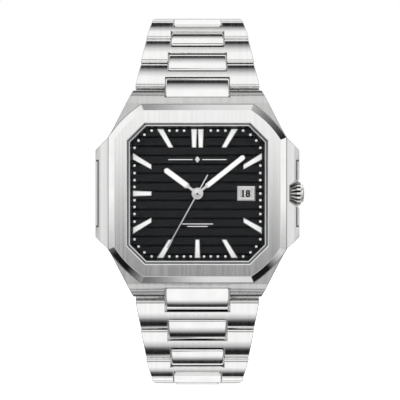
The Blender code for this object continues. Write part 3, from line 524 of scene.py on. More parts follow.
def add_piece(name, mesh_data, finishes, node, stands_for=(), bevel=0.0, segments=2, edge=None,
              angle=SMOOTH_ANGLE):
    """Make a mesh into a piece that rides with a CAD node's body, with bevelled and smoothed edges.

    edge is the material index given to the bevels; without it they take the faces' own.
    """
    bmesh.ops.recalc_face_normals(mesh_data, faces=mesh_data.faces)
    mesh = bpy.data.meshes.new(name)
    mesh_data.to_mesh(mesh)
    mesh_data.free()
    for finish in finishes:
        mesh.materials.append(MATERIALS[finish])
    mesh.shade_smooth()
    mesh.set_sharp_from_angle(angle=angle)
    made = new_object(name, mesh)
    if bevel:
        modifier = made.modifiers.new("Bevel", "BEVEL")
        modifier.width = bevel
        modifier.segments = segments
        modifier.limit_method = "ANGLE"
        modifier.angle_limit = angle
        modifier.harden_normals = True
        modifier.use_clamp_overlap = True
        modifier.material = -1 if edge is None else edge
        apply_modifiers(made)
    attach(made, BODY_OF[node])
    if stands_for:
        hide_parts(*stands_for)
    return made


def apply_modifiers(piece):
    result = evaluated_mesh(piece)
    piece.modifiers.clear()
    piece.data = result


def lofted(name, sections, finishes, node, stands_for=(), bands=None, ring=True, **edges):
    """Piece made of one loft seen from the front; bands gives each band's material index."""
    data = bmesh.new()
    loft(data, sections, front, ring, bands)
    return add_piece(name, data, finishes, node, stands_for, **edges)


def repaint(piece, old, new, test):
    """Give the faces of one finish another one where a test on normal and centre holds."""
    for face in piece.data.polygons:
        if face.material_index == old and test(face.normal, face.center):
            face.material_index = new


def cut(mesh_data, tool_data):
    """Subtract one closed mesh from another and return the result as new mesh data."""
    objects = []
    for label, data in (("cut_body", mesh_data), ("cut_tool", tool_data)):
        bmesh.ops.recalc_face_normals(data, faces=data.faces)
        mesh = bpy.data.meshes.new(label)
        data.to_mesh(mesh)
        data.free()
        objects.append(new_object(label, mesh))
    body, tool = objects
    modifier = body.modifiers.new("Boolean", "BOOLEAN")
    modifier.operation = "DIFFERENCE"
    modifier.object = tool
    modifier.material_mode = "INDEX"
    apply_modifiers(body)
    result = bmesh.new()
    result.from_mesh(body.data)
    for made in objects:
        bpy.data.objects.remove(made)
    return result


def cleaned(node):
    """Mesh data of a CAD node with its flat faces joined up."""
    data = bmesh.new()
    data.from_mesh(frame["nodes"][node].data)
    bmesh.ops.remove_doubles(data, verts=data.verts, dist=0.0005 * MM)
    bmesh.ops.dissolve_limit(data, angle_limit=math.radians(0.4), verts=data.verts, edges=data.edges)
    return data


def refined(node, finishes, choose=None, bevel=0.12 * MM, segments=2, edge=None, name=None, data=None):
    """A finely bevelled copy of a CAD node, with each face's finish chosen from its normal and centre."""
    data = data or cleaned(node)
    data.normal_update()
    for face in data.faces:
        face.smooth = True
        face.material_index = choose(face.normal, face.calc_center_median()) if choose else 0
    return add_piece(name or f"{node}_body", data, finishes, node, (node,), bevel, segments, edge)


# ---------------------------------------------------------------- head

def make_case():
    def choose(normal, centre):
        if abs(normal.x) > SQUARE_ON:
            return 1
        # Steep facets at the lug ends get near-black steel: painted shade
        if LUG_PAINTED_SHADE[0] < -normal.y < LUG_PAINTED_SHADE[1] and abs(normal.z) > 0.6:
            return 5
        if normal.y < -LEANING and abs(centre.z) < SHOULDER_LEVEL:
            return 3
        if 0.3 < abs(normal.x) <= SQUARE_ON and abs(normal.z) < 0.1:
            return 2
        if normal.y < -LEANING:
            return 0
        return 1 if normal.y < 0.5 else 0

    data = cleaned("case_middle")
    for sign in (1, -1):
        data = cut(data, flank_groove(sign))
    for level in (SHOULDER_LEVEL, -SHOULDER_LEVEL):
        geometry = data.verts[:] + data.edges[:] + data.faces[:]
        bmesh.ops.bisect_plane(data, geom=geometry, dist=TINY, plane_co=(0, 0, level), plane_no=(0, 0, 1))
    # Index 4 is dark steel on the bevels, painted shade drawn as dark edge lines; index 5 is near-black steel,
    # painted shade on the lug ends
    finishes = ("case_steel", "flank_steel", "edge_steel", "flank_top", "painted_edge_shade", "painted_shadow_steel")
    case = refined("case_middle", finishes, choose, 0.09 * MM, 2, 4, data=data)
    # Bevels along the flank top's inner edge take the flank top's finish instead of the painted shade
    repaint(case, 4, 3, lambda normal, centre: abs(abs(centre.x) - BEVEL_START) < 0.15 * MM
            and abs(centre.z) < SHOULDER_LEVEL and normal.y < -0.6)
    make_case_lips()
    # A black ring just outside the bezel stands for the shadow gap between bezel and case: painted shadow
    half_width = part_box("bezel")[1].x
    outer = inset_octagon(half_width, BEZEL_CORNER, -SHADOW_GAP_PROUD, BEZEL_BULGE)
    inner = inset_octagon(half_width, BEZEL_CORNER, 1.0 * MM, BEZEL_BULGE)
    bottom = heights("case_middle")[1] - 0.02 * MM
    top = heights("bezel")[0] + 0.1 * MM
    lofted("bezel_shadow_gap", [(outer, bottom), (outer, top), (inner, top), (inner, bottom)],
           ("shadow_gap_black",), "bezel", bevel=0.03 * MM)


def flank_groove(sign):
    """Tool for the fine groove that frames the panel along a flank's outer edge."""
    half = CASE_GROOVE_WIDTH / 2
    inner = GROOVE_LINE - half
    outer = GROOVE_LINE + half
    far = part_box("case_middle")[1].x + MM
    length = GROOVE_HALF_LENGTH
    outline = [(inner, -length - half), (far, -length - half), (far, -length + half), (outer, -length + half),
               (outer, length - half), (far, length - half), (far, length + half), (inner, length + half)]
    turned = [(sign * a, b) for a, b in outline]
    tool = bmesh.new()
    loft(tool, [(turned, CASE_GROOVE_FLOOR), (turned, CASE_TOP + MM)], front)
    return tool


def make_case_lips():
    """Lips of the case that reach over the ends of the first centre links."""
    for label, end in (("upper", LIP_ENDS[0]), ("lower", LIP_ENDS[1])):
        sign = math.copysign(1, end)
        steps = 5
        start = ROLL_START + 0.05 * MM
        profile = []
        for step in range(steps + 1):
            along = start + (abs(end) - start) * step / steps
            turn = math.asin((along - ROLL_START) * math.sin(ROLL_ANGLE) / (ROLL_END - ROLL_START))
            drop = ROLL_DROP * (1 - math.cos(turn)) / (1 - math.cos(ROLL_ANGLE))
            profile.append((along, CASE_TOP - drop + LIP_PROUD))
        profile += [(abs(end), LIP_BOTTOM), (start, LIP_BOTTOM)]

        def place(along, height, across):
            return Vector((across, -height, sign * along))

        data = bmesh.new()
        loft(data, [(profile, -LIP_HALF_WIDTH), (profile, LIP_HALF_WIDTH)], place)
        add_piece(f"case_lip_{label}", data, ("case_steel",), "case_middle", bevel=0.015 * MM)


def make_bezel():
    low, high = heights("bezel")
    half_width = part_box("bezel")[1].x
    outer = octagon(half_width, BEZEL_CORNER, BEZEL_BULGE)
    rim = inset_octagon(half_width, BEZEL_CORNER, BEZEL_CHAMFER, BEZEL_BULGE)
    lip = inset_octagon(OPENING_HALF_WIDTH, OPENING_CORNER, -OPENING_LIP)
    opening = octagon(OPENING_HALF_WIDTH, OPENING_CORNER)
    sections = [(outer, low), (outer, high - BEZEL_CHAMFER_DROP), (rim, high), (lip, high),
                (opening, high - OPENING_LIP), (opening, low)]
    lofted("bezel_ring", sections, ("face_steel", "flank_steel", "polished_steel"), "bezel", ("bezel",),
           (1, 2, 0, 2, 2, 0), bevel=0.05 * MM, edge=2, angle=MITRE_ANGLE)


def make_crystal():
    low, high = heights("crystal")
    edge = 0.2 * MM
    gap = 0.1 * MM
    pane = inset_octagon(OPENING_HALF_WIDTH, OPENING_CORNER, gap)
    face = inset_octagon(OPENING_HALF_WIDTH, OPENING_CORNER, gap + edge)
    lofted("crystal_pane", [(pane, low), (pane, high - edge), (face, high)], ("crystal", "crystal_edge"),
           "crystal", ("crystal",), (1, 1, 0), ring=False, bevel=0.04 * MM, edge=1)


def make_flange():
    low, high = heights("dial_flange")
    gap = 0.1 * MM
    outlines = [inset_octagon(OPENING_HALF_WIDTH, OPENING_CORNER, OPENING_HALF_WIDTH - reach)
                for reach in (OPENING_HALF_WIDTH - gap, FLANGE_INNER_TOP, FLANGE_LINE, FLANGE_STRIP,
                              FLANGE_INNER_BOTTOM)]
    outer, top, line, strip, bottom = outlines
    sections = [(outer, low), (outer, high), (top, high), (line, high - FLANGE_LINE_DROP),
                (strip, high - FLANGE_STRIP_DROP), (bottom, low)]
    # The outer wall, top and sloping strip take the dark flange steel, a painted shade; the line is polished steel
    # and the inner band black
    lofted("flange_ring", sections, ("flange_painted_shade", "dial_black", "polished_steel"), "dial_flange",
           ("dial_flange",), (0, 0, 2, 0, 1, 1), bevel=0.01 * MM, segments=1)


def make_case_back():
    low, high = heights("case_back")
    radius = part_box("case_back")[1].x
    window = 11.6 * MM
    profile = [(radius, high), (radius, low + 0.5 * MM), (radius - 0.5 * MM, low), (14.7 * MM, low),
               (14.6 * MM, low + 0.08 * MM), (14.4 * MM, low + 0.08 * MM), (14.3 * MM, low),
               (window + 0.35 * MM, low), (window, low + 0.25 * MM), (window, low + 0.5 * MM),
               (12.5 * MM, low + 0.5 * MM), (12.5 * MM, high)]
    data = bmesh.new()
    turn_profile(data, profile, front, ring=True, finishes=(0, 1, 0, 1, 1, 1, 0, 1, 0, 0, 0, 0))
    notches = 6
    for index in range(notches):
        angle = 2 * math.pi * index / notches
        tool = bmesh.new()
        outline = rectangle(1.6 * MM, 2.2 * MM, (0.0, radius))
        turned = [(a * math.cos(angle) - b * math.sin(angle), a * math.sin(angle) + b * math.cos(angle))
                  for a, b in outline]
        loft(tool, [(turned, low - 1.0 * MM), (turned, low + 0.7 * MM)], front)
        data = cut(data, tool)
    add_piece("case_back_ring", data, ("flank_steel", "edge_steel"), "case_back", ("case_back",),
              0.06 * MM, 2, 1)
    refined("back_crystal", ("crystal", "crystal_edge"), lambda normal, centre: int(abs(normal.y) < 0.9),
            0.1 * MM, 2, 1, "back_crystal_pane")


def make_crown():
    low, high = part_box("crown")
    axis_height = -(low.y + high.y) / 2
    start, tip = low.x, high.x
    radius = (high.z - low.z) / 2
    shoulder = start + 1.35 * MM
    face = tip - 0.85 * MM
    flutes = 16
    depth = 0.3 * MM

    def on_stem(a, b, reach):
        return Vector((reach, -axis_height - a, b))

    def fluted(local, reach, angle):
        if reach < start + 0.2 * MM or reach > face + 0.01 * MM:
            return local
        return local - depth * (1 - abs(math.cos(flutes * angle / 2)))

    back = 1.45 * MM
    profile = [(0.0, start), (back, start), (back + 0.12 * MM, start + 0.1 * MM),
               (back + 0.6 * (radius - back), start + 0.75 * MM), (radius - 0.05 * MM, shoulder - 0.08 * MM),
               (radius, shoulder), (radius, face), (radius - 0.1 * MM, face + 0.12 * MM),
               (2.12 * MM, face + 0.22 * MM), (2.05 * MM, face + 0.18 * MM), (1.96 * MM, face + 0.28 * MM),
               (1.86 * MM, tip - 0.24 * MM), (1.6 * MM, tip - 0.12 * MM), (1.1 * MM, tip - 0.04 * MM),
               (0.5 * MM, tip - 0.01 * MM), (0.0, tip)]
    data = bmesh.new()
    turn_profile(data, profile, on_stem, segments=flutes * 12, radius_at=fluted)
    # Flute valleys take near-black steel: painted shade in the recesses
    for item in data.faces:
        centre = item.calc_center_median()
        if start + 0.2 * MM < centre.x < face:
            angle = math.atan2(centre.z, -centre.y - axis_height)
            item.material_index = int(abs(math.cos(flutes * angle / 2)) < 0.75)
    add_piece("crown_body", data, ("edge_steel", "painted_shadow_steel"), "crown", ("crown",))


# ---------------------------------------------------------------- dial, date and hands

def ray_and_cross(degrees):
    angle = math.radians(degrees)
    return Vector((math.sin(angle), math.cos(angle))), Vector((math.cos(angle), -math.sin(angle)))


def baton_outline(degrees, offset, inset):
    """Hour baton along a ray; its ends are cut parallel to the dial side that they face."""
    ray, cross = ray_and_cross(degrees)
    facing_top = abs(ray.y) >= abs(ray.x) - TINY
    outer_half, inner_half = MARKER_HALF_WIDTH
    points = []
    corners = ((MARKER_OUTER - inset, outer_half, 1), (MARKER_OUTER - inset, outer_half, -1),
               (MARKER_INNER + inset, inner_half, -1), (MARKER_INNER + inset, inner_half, 1))
    for reach, half, sign in corners:
        start = cross * (offset + sign * (half - inset))
        if facing_top:
            travel = (reach - abs(start.y) * math.copysign(1, start.y * ray.y)) / abs(ray.y)
        else:
            travel = (reach - abs(start.x) * math.copysign(1, start.x * ray.x)) / abs(ray.x)
        point = start + ray * travel
        points.append((point.x, point.y))
    return points


def marker_places():
    for hour in range(12):
        if hour == 3:
            continue
        offsets = (-DOUBLE_MARKER_OFFSET, DOUBLE_MARKER_OFFSET) if hour == 0 else (0.0,)
        for offset in offsets:
            yield 30 * hour, offset


def make_markers():
    frames = bmesh.new()
    lume = bmesh.new()
    top = DIAL_TOP + MARKER_HEIGHT
    for degrees, offset in marker_places():
        outer = baton_outline(degrees, offset, 0.0)
        inner = baton_outline(degrees, offset, MARKER_FRAME)
        fill = baton_outline(degrees, offset, MARKER_FRAME + 0.01 * MM)
        loft(frames, [(outer, DIAL_TOP), (outer, top), (inner, top), (inner, DIAL_TOP)], front, ring=True)
        loft(lume, [(fill, DIAL_TOP), (fill, top - 0.02 * MM)], front)
    add_piece("hour_marker_frames", frames, ("edge_steel",), "dial", bevel=0.035 * MM)
    add_piece("hour_marker_lume", lume, ("lume",), "dial", bevel=0.03 * MM)


def make_minute_dots():
    data = bmesh.new()
    for minute in range(60):
        if minute in (1, 59) or (minute % 5 == 0 and minute != 15):
            continue
        ray = ray_and_cross(6 * minute)[0]
        side = DOT_TRACK_SIDE / max(abs(ray.x), abs(ray.y))
        corner = DOT_TRACK_CORNER * math.sqrt(2) / (abs(ray.x) + abs(ray.y))
        centre = ray * min(side, corner)

        def place(a, b, height):
            return front(centre.x + a, centre.y + b, height)

        profile = [(0.0, DIAL_TOP - 0.05 * MM), (DOT_RADIUS, DIAL_TOP - 0.05 * MM),
                   (DOT_RADIUS, DIAL_TOP + 0.03 * MM), (DOT_RADIUS * 0.8, DIAL_TOP + 0.06 * MM),
                   (0.0, DIAL_TOP + 0.07 * MM)]
        turn_profile(data, profile, place, segments=16)
    add_piece("minute_dots", data, ("print_white",), "dial")


def make_dial():
    """Dial plate with horizontal grooves, a centre hole and the date window."""
    low = heights("dial")[0]
    half_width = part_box("dial")[1].x
    plate = bmesh.new()
    outline = octagon(half_width, DIAL_CORNER, steps=1)
    loft(plate, [(outline, low), (outline, DIAL_TOP)], front)
    hole = bmesh.new()
    profile = [(0.0, low - MM), (DIAL_HOLE, low - MM), (DIAL_HOLE, DIAL_TOP + MM), (0.0, DIAL_TOP + MM)]
    turn_profile(hole, profile, front)
    plate = cut(plate, hole)
    window = bmesh.new()
    opening = rectangle(*DATE_APERTURE, centre=(date_centre(), 0.0))
    loft(window, [(opening, low - MM), (opening, DIAL_TOP + MM)], front)
    plate = cut(plate, window)
    count = int(half_width / GROOVE_PITCH) + 1
    lines = [GROOVE_OFFSET + GROOVE_PITCH * index for index in range(-count, count + 1)]
    lines = [line for line in lines if abs(line) < half_width - GROOVE_HALF_WIDTH]
    for line in lines:
        for share in (-1, -0.5, 0.5, 1):
            geometry = plate.verts[:] + plate.edges[:] + plate.faces[:]
            level = line + share * GROOVE_HALF_WIDTH
            bmesh.ops.bisect_plane(plate, geom=geometry, dist=TINY, plane_co=(0, 0, level),
                                   plane_no=(0, 0, 1))
    reach = 0.5 * GROOVE_HALF_WIDTH + 0.001 * MM
    for vertex in plate.verts:
        if vertex.co.y > -DIAL_TOP + 0.001 * MM:
            continue
        if any(abs(vertex.co.z - line) < reach for line in lines):
            vertex.co.y += GROOVE_DEPTH
    plate.normal_update()
    # Groove floors and walls take the blacker finish: painted shade in the grooves
    limit = -DIAL_TOP + 0.4 * GROOVE_DEPTH
    for face in plate.faces:
        centre = face.calc_center_median()
        grooved = any(abs(centre.z - line) < GROOVE_HALF_WIDTH for line in lines)
        leaning = face.normal.y < -LEANING
        face.material_index = int(grooved and leaning and centre.y < limit + GROOVE_DEPTH)
    add_piece("dial_plate", plate, ("dial_black", "groove_painted_shade"), "dial", ("dial",))


def date_centre():
    low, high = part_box("date_frame")
    return (low.x + high.x) / 2


def make_date():
    low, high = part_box("date_frame")
    centre = (date_centre(), 0.0)
    outer = rectangle(high.x - low.x, high.z - low.z, centre)
    ridge = rectangle(*DATE_RIDGE, centre)
    aperture = rectangle(*DATE_APERTURE, centre)
    bottom, top = heights("date_frame")
    inner_drop = 0.16 * MM
    sections = [(outer, bottom), (outer, bottom + 0.08 * MM), (ridge, top), (aperture, top - inner_drop),
                (aperture, bottom - 0.4 * MM)]
    lofted("date_window_frame", sections, ("frame_steel", "print_white"), "date_frame", ("date_frame",),
           (0, 0, 0, 1, 1), bevel=0.02 * MM)
    refined("date_disc", ("disc_white", "nickel"), lambda normal, place: int(normal.y > -0.5), 0.05 * MM,
            name="date_disc_plate")
    face = heights("date_disc")[1]
    for day in range(1, DAYS + 1):
        make_numeral(day, face)


def make_numeral(day, face):
    """One date numeral on the disc, turned so that it is upright when it reaches the window."""
    text = bpy.data.curves.new(f"date_numeral_{day}", "FONT")
    text.body = str(day)
    text.size = NUMERAL_HEIGHT / DIGIT_SHARE
    text.align_x = "CENTER"
    text.extrude = NUMERAL_RELIEF
    text.offset = NUMERAL_WEIGHT
    text.space_character = NUMERAL_SPACING
    shape = new_object("numeral_shape", text)
    mesh = evaluated_mesh(shape)
    bpy.data.objects.remove(shape)
    xs = [vertex.co.x for vertex in mesh.vertices]
    ys = [vertex.co.y for vertex in mesh.vertices]
    middle = Vector(((min(xs) + max(xs)) / 2, (min(ys) + max(ys)) / 2))
    turn = 2 * math.pi * (day - FIRST_DAY) / DAYS
    for vertex in mesh.vertices:
        a = vertex.co.x - middle.x + date_centre()
        b = vertex.co.y - middle.y
        across = a * math.cos(turn) - b * math.sin(turn)
        along = a * math.sin(turn) + b * math.cos(turn)
        vertex.co = front(across, along, face + NUMERAL_RELIEF + vertex.co.z)
    data = bmesh.new()
    data.from_mesh(mesh)
    for item in data.faces:
        item.material_index = 0
    add_piece(f"date_numeral_{day}", data, ("ink",), "date_disc")


def hand_outline(length, body, neck, hub, neck_length, tail=0.0):
    """Half outline on the right of a hand, from its hub or tail to its rounded tip."""
    shoulder = (body, neck_length + SHOULDER_SHARE * body)
    right = [(neck, math.sqrt(hub * hub - neck * neck)), (neck, neck_length), shoulder]
    right += arc((0.0, length - body), body, 0, 90, 8)
    start = math.degrees(math.atan2(right[0][1], right[0][0]))
    for point in arc((0.0, 0.0), hub, start, -90, 16)[1:-1]:
        if not tail or abs(point[0]) > neck:
            right.insert(0, point)
    if tail:
        right.insert(0, (neck, -math.sqrt(hub * hub - neck * neck)))
        for point in arc((0.0, -tail + neck), neck, 0, -90, 4):
            right.insert(0, point)
    else:
        right.insert(0, (0.0, -hub))
    return right


def full_outline(right, degrees):
    """Mirror a half outline and turn it to its angle from 12 o'clock."""
    ray, cross = ray_and_cross(degrees)
    left = [(-a, b) for a, b in reversed(right) if abs(a) > TINY]
    unique = []
    for point in right + left:
        if not unique or math.dist(point, unique[-1]) > 0.001 * MM:
            unique.append(point)
    return [(a * cross.x + b * ray.x, a * cross.y + b * ray.y) for a, b in unique]


def make_hand(node, values, hub_ring, tail=0.0):
    degrees, length, body, neck, hub, neck_length = values
    top = heights(node)[1]
    bottom = top - HAND_THICKNESS
    outline = full_outline(hand_outline(length, body, neck, hub, neck_length, tail), degrees)
    data = bmesh.new()
    loft(data, [(outline, bottom), (outline, top)], front)
    pipe_low = heights(node)[0]
    pipe = hub * PIPE_SHARE
    turn_profile(data, [(0.0, pipe_low), (pipe, pipe_low), (pipe, bottom), (0.0, bottom)], front, segments=32)
    cap = [(0.0, top), (hub_ring, top), (hub_ring, top + 0.05 * MM), (hub_ring - 0.06 * MM, top + 0.09 * MM),
           (0.0, top + 0.1 * MM)]
    turn_profile(data, cap, front, segments=48)
    add_piece(f"{node}_body", data, ("polished_steel",), node, (node,), 0.045 * MM, 2)
    if tail:
        return
    half = body - HAND_FRAME
    start = neck_length + SHOULDER_SHARE * body + HAND_FRAME
    end = length - HAND_FRAME
    fill = arc((0.0, start + half), half, -90, 0, 6) + arc((0.0, end - half), half, 0, 90, 8)
    shape = full_outline(fill, degrees)
    lofted(f"{node}_lume", [(shape, top - 0.05 * MM), (shape, top + 0.012 * MM)], ("lume",), node,
           ring=False, bevel=0.008 * MM)


def make_hands():
    make_hand("hour_hand", HOUR_HAND, 0.85 * MM)
    make_hand("minute_hand", MINUTE_HAND, 0.8 * MM)
    make_hand("seconds_hand", SECONDS_HAND, 0.42 * MM, SECONDS_TAIL)
    top = heights("seconds_hand")[1]
    pin = bmesh.new()
    profile = [(0.0, top + 0.08 * MM), (0.2 * MM, top + 0.08 * MM), (0.2 * MM, top + 0.12 * MM),
               (0.14 * MM, top + 0.14 * MM), (0.0, top + 0.14 * MM)]
    turn_profile(pin, profile, front, segments=24)
    add_piece("seconds_hand_pin", pin, ("ink",), "seconds_hand")


def make_emblem():
    """Plain lozenge between two fine bars below 12 o'clock and two printed lines above 6 o'clock."""
    half_width, half_height = EMBLEM
    lozenge = [(0.0, half_height), (half_width, 0.0), (0.0, -half_height), (-half_width, 0.0)]
    base = [(a, EMBLEM_LEVEL + b) for a, b in lozenge]
    crest = [(a * 0.35, EMBLEM_LEVEL + b * 0.35) for a, b in lozenge]
    sections = [(base, DIAL_TOP - 0.2 * MM), (base, DIAL_TOP + 0.06 * MM), (crest, DIAL_TOP + 0.18 * MM)]
    lofted("dial_emblem", sections, ("edge_steel",), "dial", ring=False)
    lines = bmesh.new()
    for across, level, width in PRINTED_LINES:
        outline = rectangle(width, PRINT_WIDTH, (across, level))
        loft(lines, [(outline, DIAL_TOP - 0.2 * MM), (outline, DIAL_TOP + 0.02 * MM)], front)
    add_piece("dial_lines", lines, ("print_white",), "dial", bevel=0.01 * MM)


# ---------------------------------------------------------------- movement

def make_movement():
    plain = {"movement_holder": "nickel", "main_plate": "nickel", "train_bridge": "nickel",
             "balance_cock": "nickel", "rotor": "nickel", "winding_stem": "inner_steel",
             "crown_tube": "inner_steel", "centre_pinion": "inner_steel", "mainspring_barrel": "brass",
             "balance_wheel": "brass"}
    for node, finish in plain.items():
        width = 0.04 * MM if node in ("mainspring_barrel", "centre_pinion", "crown_tube") else 0.1 * MM
        refined(node, (finish, "edge_steel"), bevel=width, segments=2, edge=1)
    back = heights("train_bridge")[0]
    details = (("bridge_screws", "blued", 8, 11.6 * MM, 0.55 * MM),
               ("bridge_jewels", "ruby", 5, 6.6 * MM, 0.5 * MM))
    for name, finish, count, reach, radius in details:
        data = bmesh.new()
        for index in range(count):
            angle = 2 * math.pi * (index + 0.3) / count
            spot = (reach * math.sin(angle), reach * math.cos(angle))
            if math.dist(spot, balance_centre()) < 5.4 * MM:
                continue

            def place(a, b, height):
                return front(spot[0] + a, spot[1] + b, height)

            profile = [(0.0, back + 0.2 * MM), (radius, back + 0.2 * MM), (radius, back - 0.06 * MM),
                       (radius * 0.8, back - 0.12 * MM), (radius * 0.25, back - 0.12 * MM),
                       (radius * 0.15, back - 0.02 * MM), (0.0, back - 0.02 * MM)]
            turn_profile(data, profile, place, segments=24)
        add_piece(name, data, (finish,), "train_bridge")
    make_rotor_details()


def balance_centre():
    low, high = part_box("balance_wheel")
    return (low.x + high.x) / 2, (low.z + high.z) / 2


def make_rotor_details():
    low = heights("rotor")[0]
    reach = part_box("rotor")[1].x
    outer = arc((0.0, 0.0), reach - 0.15 * MM, 182, 358, 60)
    inner = arc((0.0, 0.0), reach - 2.1 * MM, 358, 182, 60)
    shape = outer + inner
    lofted("rotor_weight", [(shape, low + 0.1 * MM), (shape, low - 0.1 * MM)], ("brass",), "rotor",
           ring=False, bevel=0.05 * MM)
    hub = bmesh.new()
    profile = [(0.0, low + 0.1 * MM), (1.5 * MM, low + 0.1 * MM), (1.5 * MM, low - 0.08 * MM),
               (1.35 * MM, low - 0.14 * MM), (0.5 * MM, low - 0.14 * MM), (0.42 * MM, low - 0.02 * MM),
               (0.0, low - 0.02 * MM)]
    turn_profile(hub, profile, front, segments=48)
    add_piece("rotor_bearing", hub, ("edge_steel",), "rotor")


# ---------------------------------------------------------------- bracelet

def pin_of(joint):
    y, z = JOINTS[joint]["pos_m"][1:]
    return Vector((y, z))


def chain_frame(sign, start, tilt):
    """Mapping from a link's own (along, up, across) to the frame."""
    def place(along, up, across):
        y = start.x + along * math.sin(tilt) - up * math.cos(tilt)
        z = start.y + sign * (along * math.cos(tilt) + up * math.sin(tilt))
        return Vector((across, y, z))

    return place


def tilt_between(sign, first, second):
    step = second - first
    return math.atan2(step.x, sign * step.y)


def link_profile(low, high, stations, fall):
    """Upper and lower runs of a link's side profile, each from the low end to the high end.

    fall is the angle of the top surface to the link at its low and high ends, in degrees.
    """
    near, far = (math.radians(value) for value in fall)
    first = low + NEAR_FILLET * (1 + math.sin(near))
    last = high - FAR_FILLET * (1 - math.sin(far))
    rate = (far - near) / (last - first)

    def drop(along):
        return (math.log(math.cos(near)) - math.log(math.cos(near + rate * (along - first)))) / rate

    def limit(along):
        share = 2 * (along - low) / (high - low) - 1
        return LINK_TOP + LINK_CROWN * (1 - share * share)

    inside = [along for along in stations if first + TINY < along < last - TINY]
    level = min(limit(along) + drop(along) for along in [first, *inside, last])
    near_centre = (low + NEAR_FILLET, level - NEAR_FILLET * math.cos(near))
    far_centre = (high - FAR_FILLET, level - drop(last) - FAR_FILLET * math.cos(far))
    upper = arc(near_centre, NEAR_FILLET, 180, 90 - fall[0], 5)
    upper += [(along, level - drop(along)) for along in inside]
    upper += arc(far_centre, FAR_FILLET, 90 - fall[1], 0, 7)
    bottom_centre = LINK_BOTTOM + BOTTOM_FILLET
    lower = arc((low + BOTTOM_FILLET, bottom_centre), BOTTOM_FILLET, 180, 270, 7)
    lower += [(along, LINK_BOTTOM) for along in stations
              if low + BOTTOM_FILLET < along < high - BOTTOM_FILLET]
    lower += arc((high - BOTTOM_FILLET, bottom_centre), BOTTOM_FILLET, 270, 360, 7)
    return upper, lower


def make_outer_link(node, place, wide, narrow, near_notch, far_notch):
    """H-shaped link: two cheeks joined by a crossbar, with pin ends on its sides."""
    low = -PIN_FROM_END
    high = BODY_SPACING + PIN_FROM_END
    wall_low = CENTRE_OVERHANG + LINK_GAP
    wall_high = BODY_SPACING - CENTRE_OVERHANG - LINK_GAP
    steps = 6
    stations = [wall_low + (wall_high - wall_low) * step / steps for step in range(steps + 1)]
    stations = [low + 0.5 * MM, low + 1.0 * MM, low + 1.6 * MM, *stations,
                high - 1.6 * MM, high - 1.2 * MM, high - 0.8 * MM]
    upper, lower = link_profile(low, high, stations, SURFACE_FALL.get(node, PLAIN_FALL))
    outline = upper + list(reversed(lower))
    data = bmesh.new()

    def outer(along):
        return wide + (narrow - wide) * (along - low) / (high - low)

    def column(run, across):
        return {point: data.verts.new(place(point[0], point[1], across(point[0]))) for point in run}

    def between(first, last):
        return [point for point in outline if first - TINY <= point[0] <= last + TINY]

    near_part = between(low, wall_low)
    bar_part = between(wall_low, wall_high)
    far_part = between(wall_high, high)
    inner_columns = []
    for sign in (1, -1):
        skin = column(outline, lambda along: sign * outer(along))
        near_column = column(near_part, lambda along: sign * near_notch)
        far_column = column(far_part, lambda along: sign * far_notch)
        shared = [point for point in bar_part if point not in near_column and point not in far_column]
        middle = column(shared, lambda along: sign * (near_notch + far_notch) / 2)
        inner = {**near_column, **far_column, **middle}
        data.faces.new([skin[point] for point in outline]).material_index = 1
        for first, second in zip(outline, outline[1:] + outline[:1]):
            data.faces.new((skin[first], skin[second], inner[second], inner[first]))
        data.faces.new([inner[point] for point in near_part]).material_index = 2
        data.faces.new([inner[point] for point in far_part]).material_index = 2
        inner_columns.append(inner)
    right, left = inner_columns
    for first, second in zip(bar_part, bar_part[1:] + bar_part[:1]):
        data.faces.new((right[first], right[second], left[second], left[first]))
    finishes = ("link_steel", "flank_steel", "polished_steel", "edge_steel", "painted_edge_shade")
    link = add_piece(f"{node}_body", data, finishes, node, (node,), LINK_EDGE, 3, 3)
    # Bevels on the link's outer sides take dark steel: painted shade drawn as dark outlines
    repaint(link, 3, 4, lambda normal, centre: abs(centre.x) > narrow - 2 * LINK_EDGE and abs(normal.x) > 0.3)
    pins = bmesh.new()
    for along in (0.0, BODY_SPACING):
        for sign in (1, -1):
            reach = outer(along)

            def on_side(a, b, across):
                return place(along + a, b, sign * (reach + across))

            profile = [(0.0, -0.3 * MM), (PIN_HEAD, -0.3 * MM), (PIN_HEAD, PIN_HEAD_PROUD * 0.5),
                       (PIN_HEAD - 0.06 * MM, PIN_HEAD_PROUD), (0.12 * MM, PIN_HEAD_PROUD),
                       (0.06 * MM, -0.02 * MM), (0.0, -0.02 * MM)]
            turn_profile(pins, profile, on_side, segments=24)
    add_piece(f"{node}_pins", pins, ("polished_steel",), node)


def make_centre_link(node, place, spacing, half_width):
    """Polished centre link, crowned over its length, with rounded sides."""
    low = -CENTRE_OVERHANG
    high = spacing + CENTRE_OVERHANG
    steps = 12
    stations = [low + FAR_FILLET + (high - low - 2 * FAR_FILLET) * step / steps for step in range(steps)]
    upper, lower = link_profile(low, high, stations, SURFACE_FALL.get(node, PLAIN_FALL))
    outline = upper + list(reversed(lower))
    middle = (low + high) / 2
    half_length = (high - low) / 2
    corner_steps = 6
    sections = []
    for step in range(corner_steps + 1):
        turn = math.pi / 2 * step / corner_steps
        inset = CENTRE_EDGE * (1 - math.sin(turn))
        across = half_width - CENTRE_EDGE * (1 - math.cos(turn))
        sections.append((across, inset))
    sections = sections + [(-across, inset) for across, inset in reversed(sections)]
    cuts = []
    for across, inset in sections:
        squeeze = 1 - inset / half_length
        lift = inset * CENTRE_EDGE_LIFT
        shape = [(middle + (along - middle) * squeeze, up - math.copysign(lift, up)) for along, up in outline]
        cuts.append((shape, across))
    data = bmesh.new()
    loft(data, cuts, place)
    add_piece(f"{node}_body", data, ("centre_steel",), node, (node,))


